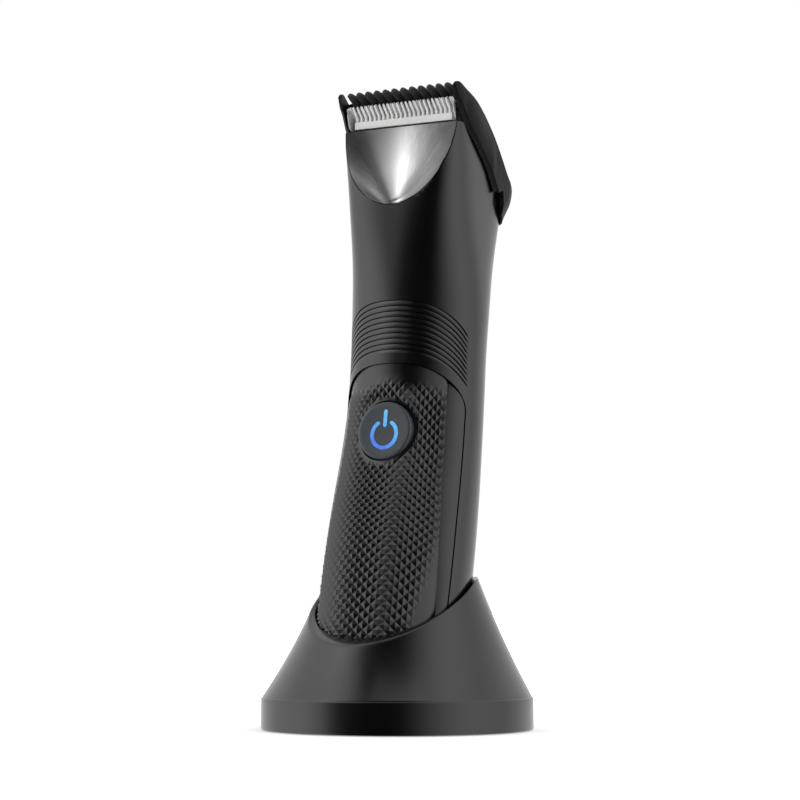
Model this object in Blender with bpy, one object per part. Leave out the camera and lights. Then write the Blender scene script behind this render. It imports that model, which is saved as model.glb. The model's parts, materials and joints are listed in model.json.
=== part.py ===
"""Cordless body groomer standing in its charging stand, with its guard comb on.

Metres, +Z up. The origin is the centre of the stand's underside, the button side faces -Y.
"""

import math

import bmesh
import bpy
from mathutils import Matrix, Vector

MM = 0.001
GAP = 0.3 * MM

# ---- driving dimensions: charging stand ------------------------------------------------------
BASE_RADIUS = 37.5 * MM
BAND_BOTTOM = 0.2 * MM
BAND_BEVEL = 0.25 * MM
BAND_TOP = 9.1 * MM
FLARE_FOOT_RADIUS = 37.15 * MM
FLARE_HOLLOW = 0.18
RIM_ANGLE = math.radians(29.0)
RIM_ROLL = 11.5 * MM
RIM_INNER_Z = 38.4 * MM
RIM_OUTER_Z = 38.8 * MM
RIM_FRONT_WIDTH = 3.8 * MM
RIM_SIDE_WIDTH = 0.9 * MM
RIM_BACK_WIDTH = 1.1 * MM
SOCKET_CLEARANCE = 0.4 * MM
SOCKET_WALL = 1.4 * MM
SOCKET_FLOOR = -3.4 * MM
STAND_WALL = 1.6 * MM
PORT_HALF_WIDTH = 4.9 * MM
PORT_LOW = 2.9 * MM
PORT_HIGH = 6.7 * MM
FOOT_HEIGHT = 0.9 * MM
FOOT_RADIUS = 33.7 * MM
BASE_PLATE_TOP = 2.6 * MM
BOARD_HEIGHT = 3.6 * MM
PIN_SPACING = 5.0 * MM
STAND_SEGMENTS = 40

# ---- driving dimensions: groomer body --------------------------------------------------------
FOOT_Z = 14.0 * MM
AXIS_CROSSING_Z = 43.1 * MM
LOWER_SLOPE = 0.24
UPPER_SLOPE = 0.10
BEND_START = 70.0 * MM
BEND_END = 106.0 * MM
UNTILT_START = 44.0 * MM
UNTILT_END = 74.0 * MM
WALL = 2.6 * MM
CAP_THICKNESS = 3.0 * MM
PLUG_HEIGHT = 5.0 * MM
# height, half width, half depth (mm) and squareness of the body's horizontal section
BODY_SECTIONS = (
    (9.0, 21.1, 18.3, 2.0),
    (43.0, 21.6, 18.8, 2.0),
    (63.0, 21.2, 17.7, 2.0),
    (82.0, 20.35, 16.5, 2.0),
    (100.0, 19.7, 17.1, 2.0),
    (118.0, 19.8, 17.4, 2.1),
    (132.0, 19.2, 18.6, 2.5),
    (145.5, 18.7, 19.9, 3.4),
    (157.5, 18.9, 20.4, 4.5),
    (168.5, 18.9, 20.5, 6.5),
    (180.0, 18.9, 20.5, 7.0),
)

# ---- driving dimensions: grip panel and button -----------------------------------------------
PANEL_ARCH_TOP = 101.0 * MM
PANEL_ARCH_START = 85.0 * MM
PANEL_BOTTOM = 21.0 * MM
PANEL_SHARE = 0.945
PANEL_THICKNESS = 1.2 * MM
PANEL_POCKET = 1.5 * MM
BUTTON_Z = 82.0 * MM
BUTTON_RADIUS = 8.3 * MM
BUTTON_LEAN = 0.17
BUTTON_FACE = 0.3 * MM
BUTTON_BORE = BUTTON_RADIUS + 0.35 * MM
ICON_RING_RADIUS = 3.8 * MM
ICON_RING_DROP = 1.0 * MM
ICON_STROKE = 1.0 * MM
ICON_OPENING = math.radians(34.0)
ICON_BAR_START = 1.1 * MM
ICON_BAR_END = 6.0 * MM

# ---- driving dimensions: head ----------------------------------------------------------------
HEAD_TOP = 168.4 * MM
BIB_LOW = (-3.64 * MM, 145.5 * MM)
BIB_SLOPE = 0.2507
BIB_HALF_WIDTH = 18.1 * MM
BIB_LENGTH = 25.0 * MM
BIB_THICKNESS = 1.5 * MM
BLADE_TIP = (1.5 * MM, 175.5 * MM)
BLADE_ANGLE = math.radians(40.0)
BLADE_LENGTH = 11.8 * MM
BLADE_THICKNESS = 0.5 * MM
BLADE_HALF_WIDTH = 17.7 * MM
TOOTH_COUNT = 22
TOOTH_PITCH = 1.42 * MM
TOOTH_SHARE = 0.52
TOOTH_DEPTH = 4.0 * MM
CUTTER_HALF_WIDTH = 15.6 * MM
HOLDER_TOP = -0.8 * MM
HOLDER_BOTTOM = -1.7 * MM
HOLDER_WINDOW_BACK = 9.1 * MM
BLADE_SCREW_X = 10.0 * MM
BLADE_SCREW_Y = 10.5 * MM
HEAD_SLOPE_CUT = -2.0 * MM

# ---- driving dimensions: guard comb ----------------------------------------------------------
COMB_GAP = 0.35 * MM
COMB_WALL = 1.2 * MM
COMB_INSET = 0.05 * MM
COMB_HEEL_SWELL = 0.6 * MM
COMB_HEEL_EDGE = 0.4 * MM
ARM_CHAMFER = 1.4
COMB_TEETH = 12
COMB_TOOTH_WIDTH = 1.1 * MM
COMB_PITCH = 2.83 * MM

# ---- driving dimensions: drive ---------------------------------------------------------------
MOTOR_RADIUS = 8.0 * MM
MOTOR_LENGTH = 25.0 * MM
MOTOR_TOP_Z = 142.0 * MM
CRANK_PIN_OFFSET = 1.2 * MM
CRANK_PIN_RADIUS = 0.8 * MM
YOKE_Y = 16.6 * MM
YOKE_BOTTOM_Z = 154.0 * MM
BATTERY_RADIUS = 7.0 * MM
BATTERY_LENGTH = 50.0 * MM
BATTERY_START = 12.5 * MM
BATTERY_SHIFT = 3.0 * MM
BOARD_DEPTH = 7.2 * MM
LEAD_RADIUS = 0.5 * MM

ROUND = 24
BODY_SEGMENTS = 32
# guide solids run well past the piece that they cut
PAST = 60 * MM


# ---- shape functions -------------------------------------------------------------------------
def smooth(low, high, value):
    """Smooth step from 0 to 1."""
    t = min(max((value - low) / (high - low), 0.0), 1.0)
    return t * t * (3.0 - 2.0 * t)


def centre_y(z):
    """Depth of the body's centre line: straight and leaning below, bending upright above."""
    span = BEND_END - BEND_START
    t = min(max((z - BEND_START) / span, 0.0), 1.0)
    turned = span * (t ** 3 - t ** 4 / 2.0) + max(z - BEND_END, 0.0)
    return LOWER_SLOPE * (z - AXIS_CROSSING_Z) - (LOWER_SLOPE - UPPER_SLOPE) * turned


def follow(table, z):
    """The values at height z on a smooth curve through a table whose rows start with a height in mm."""
    height = z / MM
    last = len(table) - 1
    i = max(k for k in range(last) if table[k][0] <= height or k == 0)
    step = table[i + 1][0] - table[i][0]
    t = (height - table[i][0]) / step

    def slope(k, column):
        low = table[max(k - 1, 0)]
        high = table[min(k + 1, last)]
        return (high[column] - low[column]) / (high[0] - low[0])

    values = []
    for column in range(1, len(table[0])):
        here = (2 * t ** 3 - 3 * t ** 2 + 1) * table[i][column]
        here += (t ** 3 - 2 * t ** 2 + t) * step * slope(i, column)
        here += (3 * t ** 2 - 2 * t ** 3) * table[i + 1][column]
        here += (t ** 3 - t ** 2) * step * slope(i + 1, column)
        values.append(here)
    return values


def section(z):
    """Half width, half depth and squareness of the body at a height."""
    half_x, half_y, power = follow(BODY_SECTIONS, z)
    return half_x * MM, half_y * MM, power


def body_ring(z, offset, segments=BODY_SEGMENTS):
    """One closed ring of the body's skin, moved out by offset. Low rings lie square to the axis."""
    half_x, half_y, power = section(z)
    tilt = math.atan(LOWER_SLOPE) * (1.0 - smooth(UNTILT_START, UNTILT_END, z))
    half_y *= math.cos(tilt)
    half_x += offset
    half_y += offset
    ring = []
    for i in range(segments):
        a = 2.0 * math.pi * i / segments
        c = math.cos(a)
        s = math.sin(a)
        x = half_x * math.copysign(abs(c) ** (2.0 / power), c)
        y = half_y * math.copysign(abs(s) ** (2.0 / power), s)
        ring.append(Vector((x, centre_y(z) + y * math.cos(tilt), z - y * math.sin(tilt))))
    return ring


def front_y(z):
    return centre_y(z) - section(z)[1]


def spread(low, high, count):
    return [low + (high - low) * i / (count - 1) for i in range(count)]


# ---- frames ----------------------------------------------------------------------------------
def frame(origin, x_axis, y_axis, z_axis):
    m = Matrix((x_axis, y_axis, z_axis)).transposed().to_4x4()
    m.translation = Vector(origin)
    return m


LOWER_TILT = math.atan(LOWER_SLOPE)
LIFT_AXIS = Vector((0, math.sin(LOWER_TILT), math.cos(LOWER_TILT)))
LOWER = frame((0, centre_y(FOOT_Z), FOOT_Z), (1, 0, 0),
              (0, math.cos(LOWER_TILT), -math.sin(LOWER_TILT)), LIFT_AXIS)

UPPER_TILT = math.atan(UPPER_SLOPE)
MOTOR_AXIS = Vector((0, math.sin(UPPER_TILT), math.cos(UPPER_TILT)))
MOTOR_TOP_Y = YOKE_Y - UPPER_SLOPE * (YOKE_BOTTOM_Z - MOTOR_TOP_Z)
MOTOR = frame((0, MOTOR_TOP_Y, MOTOR_TOP_Z), (1, 0, 0),
              (0, math.cos(UPPER_TILT), -math.sin(UPPER_TILT)), MOTOR_AXIS)

# local X along the blade, local Y back down the slope, local Z out of the skin side
BLADE = frame((0, *BLADE_TIP), (1, 0, 0),
              (0, math.cos(BLADE_ANGLE), -math.sin(BLADE_ANGLE)),
              (0, math.sin(BLADE_ANGLE), math.cos(BLADE_ANGLE)))

# local Z points out of the button's face, local Y up the body
BUTTON_TILT = math.atan(BUTTON_LEAN)
BUTTON = frame((0, front_y(BUTTON_Z), BUTTON_Z), (1, 0, 0),
               (0, math.sin(BUTTON_TILT), math.cos(BUTTON_TILT)),
               (0, -math.cos(BUTTON_TILT), math.sin(BUTTON_TILT)))

# local Y up the chrome bib, local Z out of its face
BIB_TILT = math.atan(BIB_SLOPE)
BIB = frame((0, *BIB_LOW), (1, 0, 0),
            (0, math.sin(BIB_TILT), math.cos(BIB_TILT)),
            (0, -math.cos(BIB_TILT), math.sin(BIB_TILT)))


# ---- modelling helpers -----------------------------------------------------------------------
def material(name, colour, roughness, metallic=0.0):
    mat = bpy.data.materials.get(name) or bpy.data.materials.new(name)
    mat.use_nodes = True
    shader = mat.node_tree.nodes["Principled BSDF"]
    shader.inputs["Base Color"].default_value = (*colour, 1.0)
    shader.inputs["Roughness"].default_value = roughness
    shader.inputs["Metallic"].default_value = metallic
    return mat


def finish(name, bm, mat, place=None):
    """Turns a closed bmesh into a named object with its faces pointing out."""
    bmesh.ops.recalc_face_normals(bm, faces=bm.faces)
    mesh = bpy.data.meshes.new(name)
    bm.to_mesh(mesh)
    bm.free()
    mesh.materials.append(mat)
    mesh.shade_smooth()
    mesh.set_sharp_from_angle(angle=math.radians(35))
    obj = bpy.data.objects.new(name, mesh)
    bpy.context.collection.objects.link(obj)
    if place is not None:
        obj.matrix_world = place
    return obj


def loft(name, rings, mat, place=None, closed=False):
    """Skins a list of rings. Closed joins the last ring to the first, else both ends are capped."""
    bm = bmesh.new()
    loops = [[bm.verts.new(p) for p in ring] for ring in rings]
    count = len(loops)
    for i in range(count if closed else count - 1):
        a = loops[i]
        b = loops[(i + 1) % count]
        for k in range(len(a)):
            j = (k + 1) % len(a)
            bm.faces.new((a[k], a[j], b[j], b[k]))
    if not closed:
        bm.faces.new(loops[0])
        bm.faces.new(loops[-1])
    return finish(name, bm, mat, place)


def circle(radius, z, segments=ROUND, cx=0.0, cy=0.0):
    return [Vector((cx + radius * math.cos(2 * math.pi * i / segments),
                    cy + radius * math.sin(2 * math.pi * i / segments), z)) for i in range(segments)]


def turned(name, profile, mat, place=None, segments=ROUND, cx=0.0, cy=0.0):
    """A solid of revolution from (radius, height) points, capped flat at both ends."""
    rings = [circle(r, z, segments, cx, cy) for r, z in profile]
    return loft(name, rings, mat, place)


def washer(name, inner, outer, low, high, mat, place=None, segments=ROUND, cx=0.0, cy=0.0):
    rings = [circle(r, z, segments, cx, cy)
             for r, z in ((outer, low), (outer, high), (inner, high), (inner, low))]
    return loft(name, rings, mat, place, closed=True)


def prism(name, outline, low, high, mat, place=None):
    """Extrudes an outline given in local X and Y from low to high along local Z."""
    return loft(name, [[Vector((x, y, z)) for x, y in outline] for z in (low, high)], mat, place)


SIDEWAYS = frame((0, 0, 0), (0, 1, 0), (0, 0, 1), (1, 0, 0))


def side_prism(name, outline, half_width, mat, place=None):
    """Extrudes an outline given in depth and height evenly across the body's width."""
    m = SIDEWAYS if place is None else place @ SIDEWAYS
    return prism(name, outline, -half_width, half_width, mat, m)


def block(name, low, high, mat, place=None):
    outline = [(low[0], low[1]), (high[0], low[1]), (high[0], high[1]), (low[0], high[1])]
    return prism(name, outline, low[2], high[2], mat, place)


def boolean(target, tool, operation):
    """Cuts, joins or crosses the target with a guide solid that is not itself a piece."""
    tool.hide_render = True
    tool.display_type = "WIRE"
    mod = target.modifiers.new(operation.lower(), "BOOLEAN")
    mod.object = tool
    mod.operation = operation
    mod.solver = "EXACT"
    return target


def cut(target, tool):
    return boolean(target, tool, "DIFFERENCE")


def join(target, tool):
    return boolean(target, tool, "UNION")


def cross(target, tool):
    return boolean(target, tool, "INTERSECT")


def body_loft(name, low, high, offset, mat, steps=14):
    return loft(name, [body_ring(z, offset) for z in spread(low, high, steps)], mat)


def wire(name, points, radius, mat, place=None, sides=6):
    """A round wire through local points, mitred at each bend so that its sides stay flat."""
    path = [Vector(p) for p in points]
    last = len(path) - 1
    turn = (path[1] - path[0]).to_track_quat("Z", "Y")
    ring = [path[0] + turn @ Vector(p) for p in circle(radius, 0.0, sides)]
    rings = [ring]
    for i in range(1, last + 1):
        along = (path[i] - path[i - 1]).normalized()
        ahead = (path[min(i + 1, last)] - path[min(i, last - 1)]).normalized()
        facing = along + ahead
        ring = [p + along * ((path[i] - p).dot(facing) / along.dot(facing)) for p in ring]
        rings.append(ring)
    return loft(name, rings, mat, place)


def coil(name, mat, place, cx, cy, low, high, radius, turns, gauge):
    steps = turns * 10
    points = [(cx + radius * math.cos(2 * math.pi * i / 10.0),
               cy + radius * math.sin(2 * math.pi * i / 10.0),
               low + gauge + (high - low - 2 * gauge) * i / steps) for i in range(steps + 1)]
    return wire(name, points, gauge, mat, place, 5)


# ---- materials -------------------------------------------------------------------------------
def make_materials():
    return {
        "satin": material("satin_black", (0.030, 0.031, 0.033), 0.38),
        "matte": material("matte_black", (0.022, 0.022, 0.023), 0.62),
        "grip": material("grip_black", (0.020, 0.020, 0.021), 0.50),
        "button": material("button_black", (0.028, 0.032, 0.038), 0.45),
        "blue": material("icon_blue", (0.10, 0.42, 0.95), 0.35),
        "chrome": material("chrome", (0.80, 0.80, 0.82), 0.12, 1.0),
        "steel": material("blade_steel", (0.62, 0.63, 0.65), 0.28, 1.0),
        "ceramic": material("ceramic_white", (0.86, 0.86, 0.84), 0.35),
        "brass": material("gold_contact", (0.83, 0.62, 0.28), 0.30, 1.0),
        "zinc": material("screw_steel", (0.50, 0.51, 0.53), 0.35, 1.0),
        "rubber": material("seal_rubber", (0.035, 0.035, 0.035), 0.80),
        "board": material("board_green", (0.02, 0.16, 0.07), 0.45),
        "inner": material("inner_plastic", (0.10, 0.10, 0.11), 0.55),
        "cell": material("cell_sleeve", (0.05, 0.25, 0.50), 0.40),
        "white": material("drive_plastic", (0.75, 0.75, 0.73), 0.40),
        "red": material("lead_red", (0.50, 0.03, 0.03), 0.50),
    }


# ---- charging stand --------------------------------------------------------------------------
def socket_point(angle, z, offset):
    """A point on the socket's wall, a straight ellipse along the lift axis, at world height z."""
    half_x, half_y, _ = section(AXIS_CROSSING_Z)
    x = (half_x + offset) * math.cos(angle)
    y = (half_y + offset) * math.sin(angle)
    return Vector((x, LOWER_SLOPE * (z - AXIS_CROSSING_Z) + y, z))


def rim_height(middle_z, y):
    """Side view of the rim: a straight slant in front that rolls over to level at the back."""
    rolled = min(max(y, 0.0), RIM_ROLL)
    return middle_z + math.tan(RIM_ANGLE) * (min(y, RIM_ROLL) - rolled ** 2 / (2 * RIM_ROLL))


def rim_point(angle, width, middle_z):
    """Where the socket's wall, moved out by width, meets the rim; found by repeated substitution."""
    point = socket_point(angle, middle_z, SOCKET_CLEARANCE + width)
    for _ in range(12):
        point = socket_point(angle, rim_height(middle_z, point.y), SOCKET_CLEARANCE + width)
    return point


def rim_width(angle):
    end_width = RIM_BACK_WIDTH if math.sin(angle) > 0 else RIM_FRONT_WIDTH
    return RIM_SIDE_WIDTH + (end_width - RIM_SIDE_WIDTH) * math.sin(angle) ** 2


def round_point(angle, radius, z):
    return Vector((radius * math.cos(angle), radius * math.sin(angle), z))


def flare_point(angle, share, inset=0.0):
    """A point on the slightly hollow line from the foot's circle up to the rim."""
    foot = round_point(angle, FLARE_FOOT_RADIUS - inset, BAND_TOP)
    rim = rim_point(angle, rim_width(angle) - inset, RIM_OUTER_Z)
    point = foot.lerp(rim, share + FLARE_HOLLOW * share * (1 - share))
    point.z = foot.z + (rim.z - foot.z) * share
    return point


def stand_slice(angle):
    """The wall's closed outline at one angle: outside, rim, socket, hollow."""
    points = [round_point(angle, BASE_RADIUS - BAND_BEVEL, BAND_BOTTOM),
              round_point(angle, BASE_RADIUS, BAND_BOTTOM + BAND_BEVEL),
              round_point(angle, BASE_RADIUS, BAND_TOP - 0.2 * MM)]
    points += [flare_point(angle, share) for share in (0.01, 0.2, 0.4, 0.6, 0.8, 0.985)]
    edge = rim_width(angle) * 0.85
    points.append(rim_point(angle, edge, RIM_OUTER_Z))
    points.append(rim_point(angle, 0.0, RIM_INNER_Z))
    half_x, half_y, _ = section(AXIS_CROSSING_Z)
    for offset in (SOCKET_CLEARANCE, SOCKET_CLEARANCE + SOCKET_WALL):
        x = (half_x + offset) * math.cos(angle)
        y = (half_y + offset) * math.cos(LOWER_TILT) * math.sin(angle)
        points.append(LOWER @ Vector((x, y, SOCKET_FLOOR)))
    hollow_top = flare_point(angle, 0.55, STAND_WALL)
    points.append(socket_point(angle, hollow_top.z, SOCKET_CLEARANCE + SOCKET_WALL))
    points.append(hollow_top)
    points.append(flare_point(angle, 0.0, STAND_WALL + 0.3 * MM))
    points.append(round_point(angle, BASE_RADIUS - 2.0 * MM, BAND_BOTTOM))
    return points


def build_stand(m):
    slices = [stand_slice(2 * math.pi * i / STAND_SEGMENTS) for i in range(STAND_SEGMENTS)]
    shell = loft("stand_shell", slices, m["satin"], closed=True)
    cut(shell, block("port_hole", (-PORT_HALF_WIDTH, 30 * MM, PORT_LOW), (PORT_HALF_WIDTH, 40 * MM, PORT_HIGH),
                     m["satin"]))
    socket = block("usb_socket", (-4.5 * MM, 29.5 * MM, 3.2 * MM), (4.5 * MM, 37.0 * MM, 6.4 * MM), m["zinc"])
    cut(socket, block("port_mouth", (-3.6 * MM, 32 * MM, 3.9 * MM), (3.6 * MM, 39 * MM, 5.7 * MM), m["zinc"]))
    build_stand_base(m)
    build_stand_contacts(m)


def build_stand_base(m):
    """Base plate with its rubber foot pad, ballast ring, circuit board and screws."""
    plate_radius = BASE_RADIUS - 2.0 * MM - GAP
    plate = turned("stand_base_plate", [(plate_radius, FOOT_HEIGHT + 0.1 * MM), (plate_radius, BASE_PLATE_TOP)],
                   m["matte"], segments=36)
    cut(plate, turned("foot_recess", [(FOOT_RADIUS + GAP, 0.5 * MM), (FOOT_RADIUS + GAP, 1.5 * MM)], m["matte"],
                      segments=36))
    turned("stand_foot_pad", [(FOOT_RADIUS, 0.0), (FOOT_RADIUS, 1.2 * MM)], m["rubber"], segments=36)
    weight = washer("stand_weight", 27.0 * MM, 32.5 * MM, BASE_PLATE_TOP + GAP, 8.0 * MM, m["zinc"], segments=32)
    cut(weight, block("weight_notch", (-8 * MM, 20 * MM, 0.0), (8 * MM, 40 * MM, 12 * MM), m["zinc"]))
    board_top = BOARD_HEIGHT + 1.2 * MM
    board = block("stand_board", (-12 * MM, -16 * MM, BOARD_HEIGHT), (12 * MM, 22 * MM, board_top), m["board"])
    for name, x, y in (("stand_screw_left", -9, 14), ("stand_screw_right", 9, 14), ("stand_screw_front", 0, -13)):
        hole = turned(name + "_hole", [(1.2 * MM, 0.0), (1.2 * MM, 10 * MM)], m["zinc"], None, 10, x * MM, y * MM)
        cut(board, hole)
        profile = [(1.9 * MM, board_top + 1.2 * MM), (1.9 * MM, board_top + GAP),
                   (0.9 * MM, board_top + GAP), (0.9 * MM, BASE_PLATE_TOP + GAP)]
        turned(name, profile, m["zinc"], None, 10, x * MM, y * MM)


def build_stand_contacts(m):
    """Floor of the socket, the carrier under it and the two sprung charging pins."""
    half_x, half_y, _ = section(AXIS_CROSSING_Z)
    reach = SOCKET_CLEARANCE - GAP
    angles = [2 * math.pi * i / STAND_SEGMENTS for i in range(STAND_SEGMENTS)]
    outline = [((half_x + reach) * math.cos(a), (half_y + reach) * math.cos(LOWER_TILT) * math.sin(a))
               for a in angles]
    floor = prism("socket_floor", outline, SOCKET_FLOOR, -1.2 * MM, m["matte"], LOWER)
    carrier = block("pin_carrier", (-9 * MM, -3.5 * MM, -7.2 * MM), (9 * MM, 3.5 * MM, -5.8 * MM),
                    m["inner"], LOWER)
    for side, x in (("left", -PIN_SPACING), ("right", PIN_SPACING)):
        hole = [(1.5 * MM, -5 * MM), (1.5 * MM, 1 * MM)]
        cut(floor, turned("pin_hole_" + side, hole, m["brass"], LOWER, 16, x))
        cut(carrier, turned("carrier_hole_" + side, [(0.95 * MM, -9 * MM), (0.95 * MM, -4 * MM)], m["brass"],
                            LOWER, 16, x))
        turned("charging_pin_" + side, [(0.7 * MM, -5.4 * MM), (0.7 * MM, -3.6 * MM), (1.2 * MM, -3.6 * MM),
                                        (1.2 * MM, -0.7 * MM), (0.7 * MM, -GAP)], m["brass"], LOWER, 12, x)
        coil("pin_spring_" + side, m["steel"], LOWER, x, 0.0, -5.6 * MM, -3.8 * MM, 1.15 * MM, 2, 0.15 * MM)


# ---- groomer housing -------------------------------------------------------------------------
def panel_outline(margin, bottom):
    """Front view of the grip panel: sides that follow the body, closed by a round arch."""
    side = []
    for z in spread(bottom, PANEL_ARCH_START, 8):
        side.append((PANEL_SHARE * section(z)[0] - margin, z))
    rise = PANEL_ARCH_TOP - margin - PANEL_ARCH_START
    half = PANEL_SHARE * section(PANEL_ARCH_START)[0] - margin
    for i in range(1, 9):
        a = math.pi / 2 * i / 8
        side.append((half * math.cos(a) ** 0.8, PANEL_ARCH_START + rise * math.sin(a) ** 0.8))
    return side[:-1] + [(0.0, side[-1][1])] + [(-x, z) for x, z in reversed(side[:-1])]


def panel_region(name, margin, bottom, mat):
    """The column in front of the body's centre line and inside the panel's outline."""
    outline = panel_outline(margin, bottom)
    front = [Vector((x, -45 * MM, z)) for x, z in outline]
    back = [Vector((x, centre_y(z), z)) for x, z in outline]
    return loft(name, [front, back], mat)


def bib_outline(margin):
    """Half ellipse with its round end down; it runs past the head's top."""
    points = []
    for i in range(17):
        a = math.pi * i / 16
        points.append((-(BIB_HALF_WIDTH - margin) * math.cos(a),
                       BIB_LENGTH - (BIB_LENGTH - margin) * math.sin(a)))
    half, top = BIB_HALF_WIDTH - margin, BIB_LENGTH + 4 * MM
    return points + [(half, top), (-half, top)]


def bib_line(z, depth):
    """Depth of the bib's plane, moved into the body, at a height."""
    return BIB_LOW[0] + BIB_SLOPE * (z - BIB_LOW[1]) + depth / math.cos(BIB_TILT)


def head_cut_outline(bib_depth, top, slope_cut):
    """Side view of everything above and in front of the head's surfaces."""
    low = 118 * MM
    down = (BLADE_TIP[1] + slope_cut * math.cos(BLADE_ANGLE) - top) / math.sin(BLADE_ANGLE)
    shoulder = BLADE_TIP[0] + down * math.cos(BLADE_ANGLE) + slope_cut * math.sin(BLADE_ANGLE)
    reach = 50 * MM
    return [(bib_line(low, bib_depth), low), (bib_line(top, bib_depth), top), (shoulder, top),
            (shoulder + reach, top - reach * math.tan(BLADE_ANGLE)),
            (90 * MM, top - reach * math.tan(BLADE_ANGLE)), (90 * MM, 200 * MM),
            (-PAST, 200 * MM), (-PAST, low)]


def build_housing(m):
    bottom = FOOT_Z + CAP_THICKNESS + GAP
    housing = body_loft("housing", bottom, 179 * MM, 0.0, m["satin"], 17)
    cut(housing, side_prism("head_cut", head_cut_outline(0.0, HEAD_TOP, HEAD_SLOPE_CUT), PAST, m["satin"]))

    cavity = body_loft("cavity", bottom - 3 * MM, 179 * MM, -WALL, m["satin"], 13)
    bib_wall = BIB_THICKNESS + GAP + 1.5 * MM
    front = [(bib_line(118 * MM, bib_wall), 118 * MM), (bib_line(185 * MM, bib_wall), 185 * MM),
             (-PAST, 185 * MM), (-PAST, 118 * MM)]
    cut(cavity, side_prism("cavity_front", front, PAST, m["satin"]))
    cut(housing, cavity)

    pocket = body_loft("panel_pocket", PANEL_BOTTOM - 6 * MM, PANEL_ARCH_TOP + 8 * MM, 1.0 * MM, m["satin"], 7)
    cut(pocket, body_loft("pocket_core", PANEL_BOTTOM - 12 * MM, PANEL_ARCH_TOP + 14 * MM, -PANEL_POCKET,
                          m["satin"], 14))
    cross(pocket, panel_region("pocket_region", 0.0, PANEL_BOTTOM, m["satin"]))
    cut(housing, pocket)
    cut(housing, turned("button_bore", [(BUTTON_BORE, -8 * MM), (BUTTON_BORE, 6 * MM)],
                        m["satin"], BUTTON, 32))
    cut(housing, prism("bib_pocket", bib_outline(0.1 * MM), -(BIB_THICKNESS + GAP), 6 * MM, m["satin"], BIB))
    return housing


def build_bib(m):
    bib = prism("chrome_bib", bib_outline(0.35 * MM), -BIB_THICKNESS, 0.0, m["chrome"], BIB)
    limit = [(-40 * MM, 120 * MM), (60 * MM, 120 * MM), (60 * MM, HEAD_TOP), (-40 * MM, HEAD_TOP)]
    cross(bib, side_prism("bib_limit", limit, PAST, m["chrome"]))
    cross(bib, body_loft("bib_skin", 130 * MM, 176 * MM, -0.05 * MM, m["chrome"], 10))


def build_grip_panel(m):
    low = PANEL_BOTTOM - 6 * MM
    high = PANEL_ARCH_TOP + 8 * MM
    panel = body_loft("grip_panel", low, high, 0.0, m["grip"], 10)
    cut(panel, body_loft("panel_core", low - 6 * MM, high + 6 * MM, -PANEL_THICKNESS, m["grip"], 11))
    cross(panel, panel_region("panel_region", GAP, PANEL_BOTTOM + GAP, m["grip"]))
    cut(panel, turned("panel_bore", [(BUTTON_BORE, -8 * MM), (BUTTON_BORE, 6 * MM)],
                      m["grip"], BUTTON, 32))


def icon_ring(name, extra, low, high, mat):
    """The open ring of the power symbol."""
    inner = ICON_RING_RADIUS - ICON_STROKE / 2 - extra
    outer = ICON_RING_RADIUS + ICON_STROKE / 2 + extra
    start = math.pi / 2 + ICON_OPENING - extra / ICON_RING_RADIUS
    sweep = 2 * (math.pi - ICON_OPENING + extra / ICON_RING_RADIUS)
    arc = [start + sweep * i / 24 for i in range(25)]
    outline = [(outer * math.cos(a), outer * math.sin(a) - ICON_RING_DROP) for a in arc]
    outline += [(inner * math.cos(a), inner * math.sin(a) - ICON_RING_DROP) for a in reversed(arc)]
    return prism(name, outline, low, high, mat, BUTTON)


def icon_bar(name, extra, low, high, mat):
    half = ICON_STROKE / 2 + extra
    return block(name, (-half, ICON_BAR_START - extra, low), (half, ICON_BAR_END + extra, high), mat, BUTTON)


def build_button(m):
    face = BUTTON_FACE
    profile = [(4.5 * MM, -4.6 * MM), (4.5 * MM, -3.4 * MM), (BUTTON_RADIUS, -3.4 * MM),
               (BUTTON_RADIUS, face - 0.3 * MM), (BUTTON_RADIUS - 0.4 * MM, face)]
    button = turned("power_button", profile, m["button"], BUTTON, 32)
    groove = face - 0.8 * MM
    cut(button, icon_ring("ring_groove", 0.08 * MM, groove, face + 1 * MM, m["button"]))
    cut(button, icon_bar("bar_groove", 0.08 * MM, groove, face + 1 * MM, m["button"]))
    icon_ring("power_icon_ring", 0.0, groove + 0.1 * MM, face + 0.02 * MM, m["blue"])
    icon_bar("power_icon_bar", 0.0, groove + 0.1 * MM, face + 0.02 * MM, m["blue"])
    washer("button_seal", 5.0 * MM, 10.4 * MM, -6.4 * MM, -5.6 * MM, m["rubber"], BUTTON)


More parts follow.
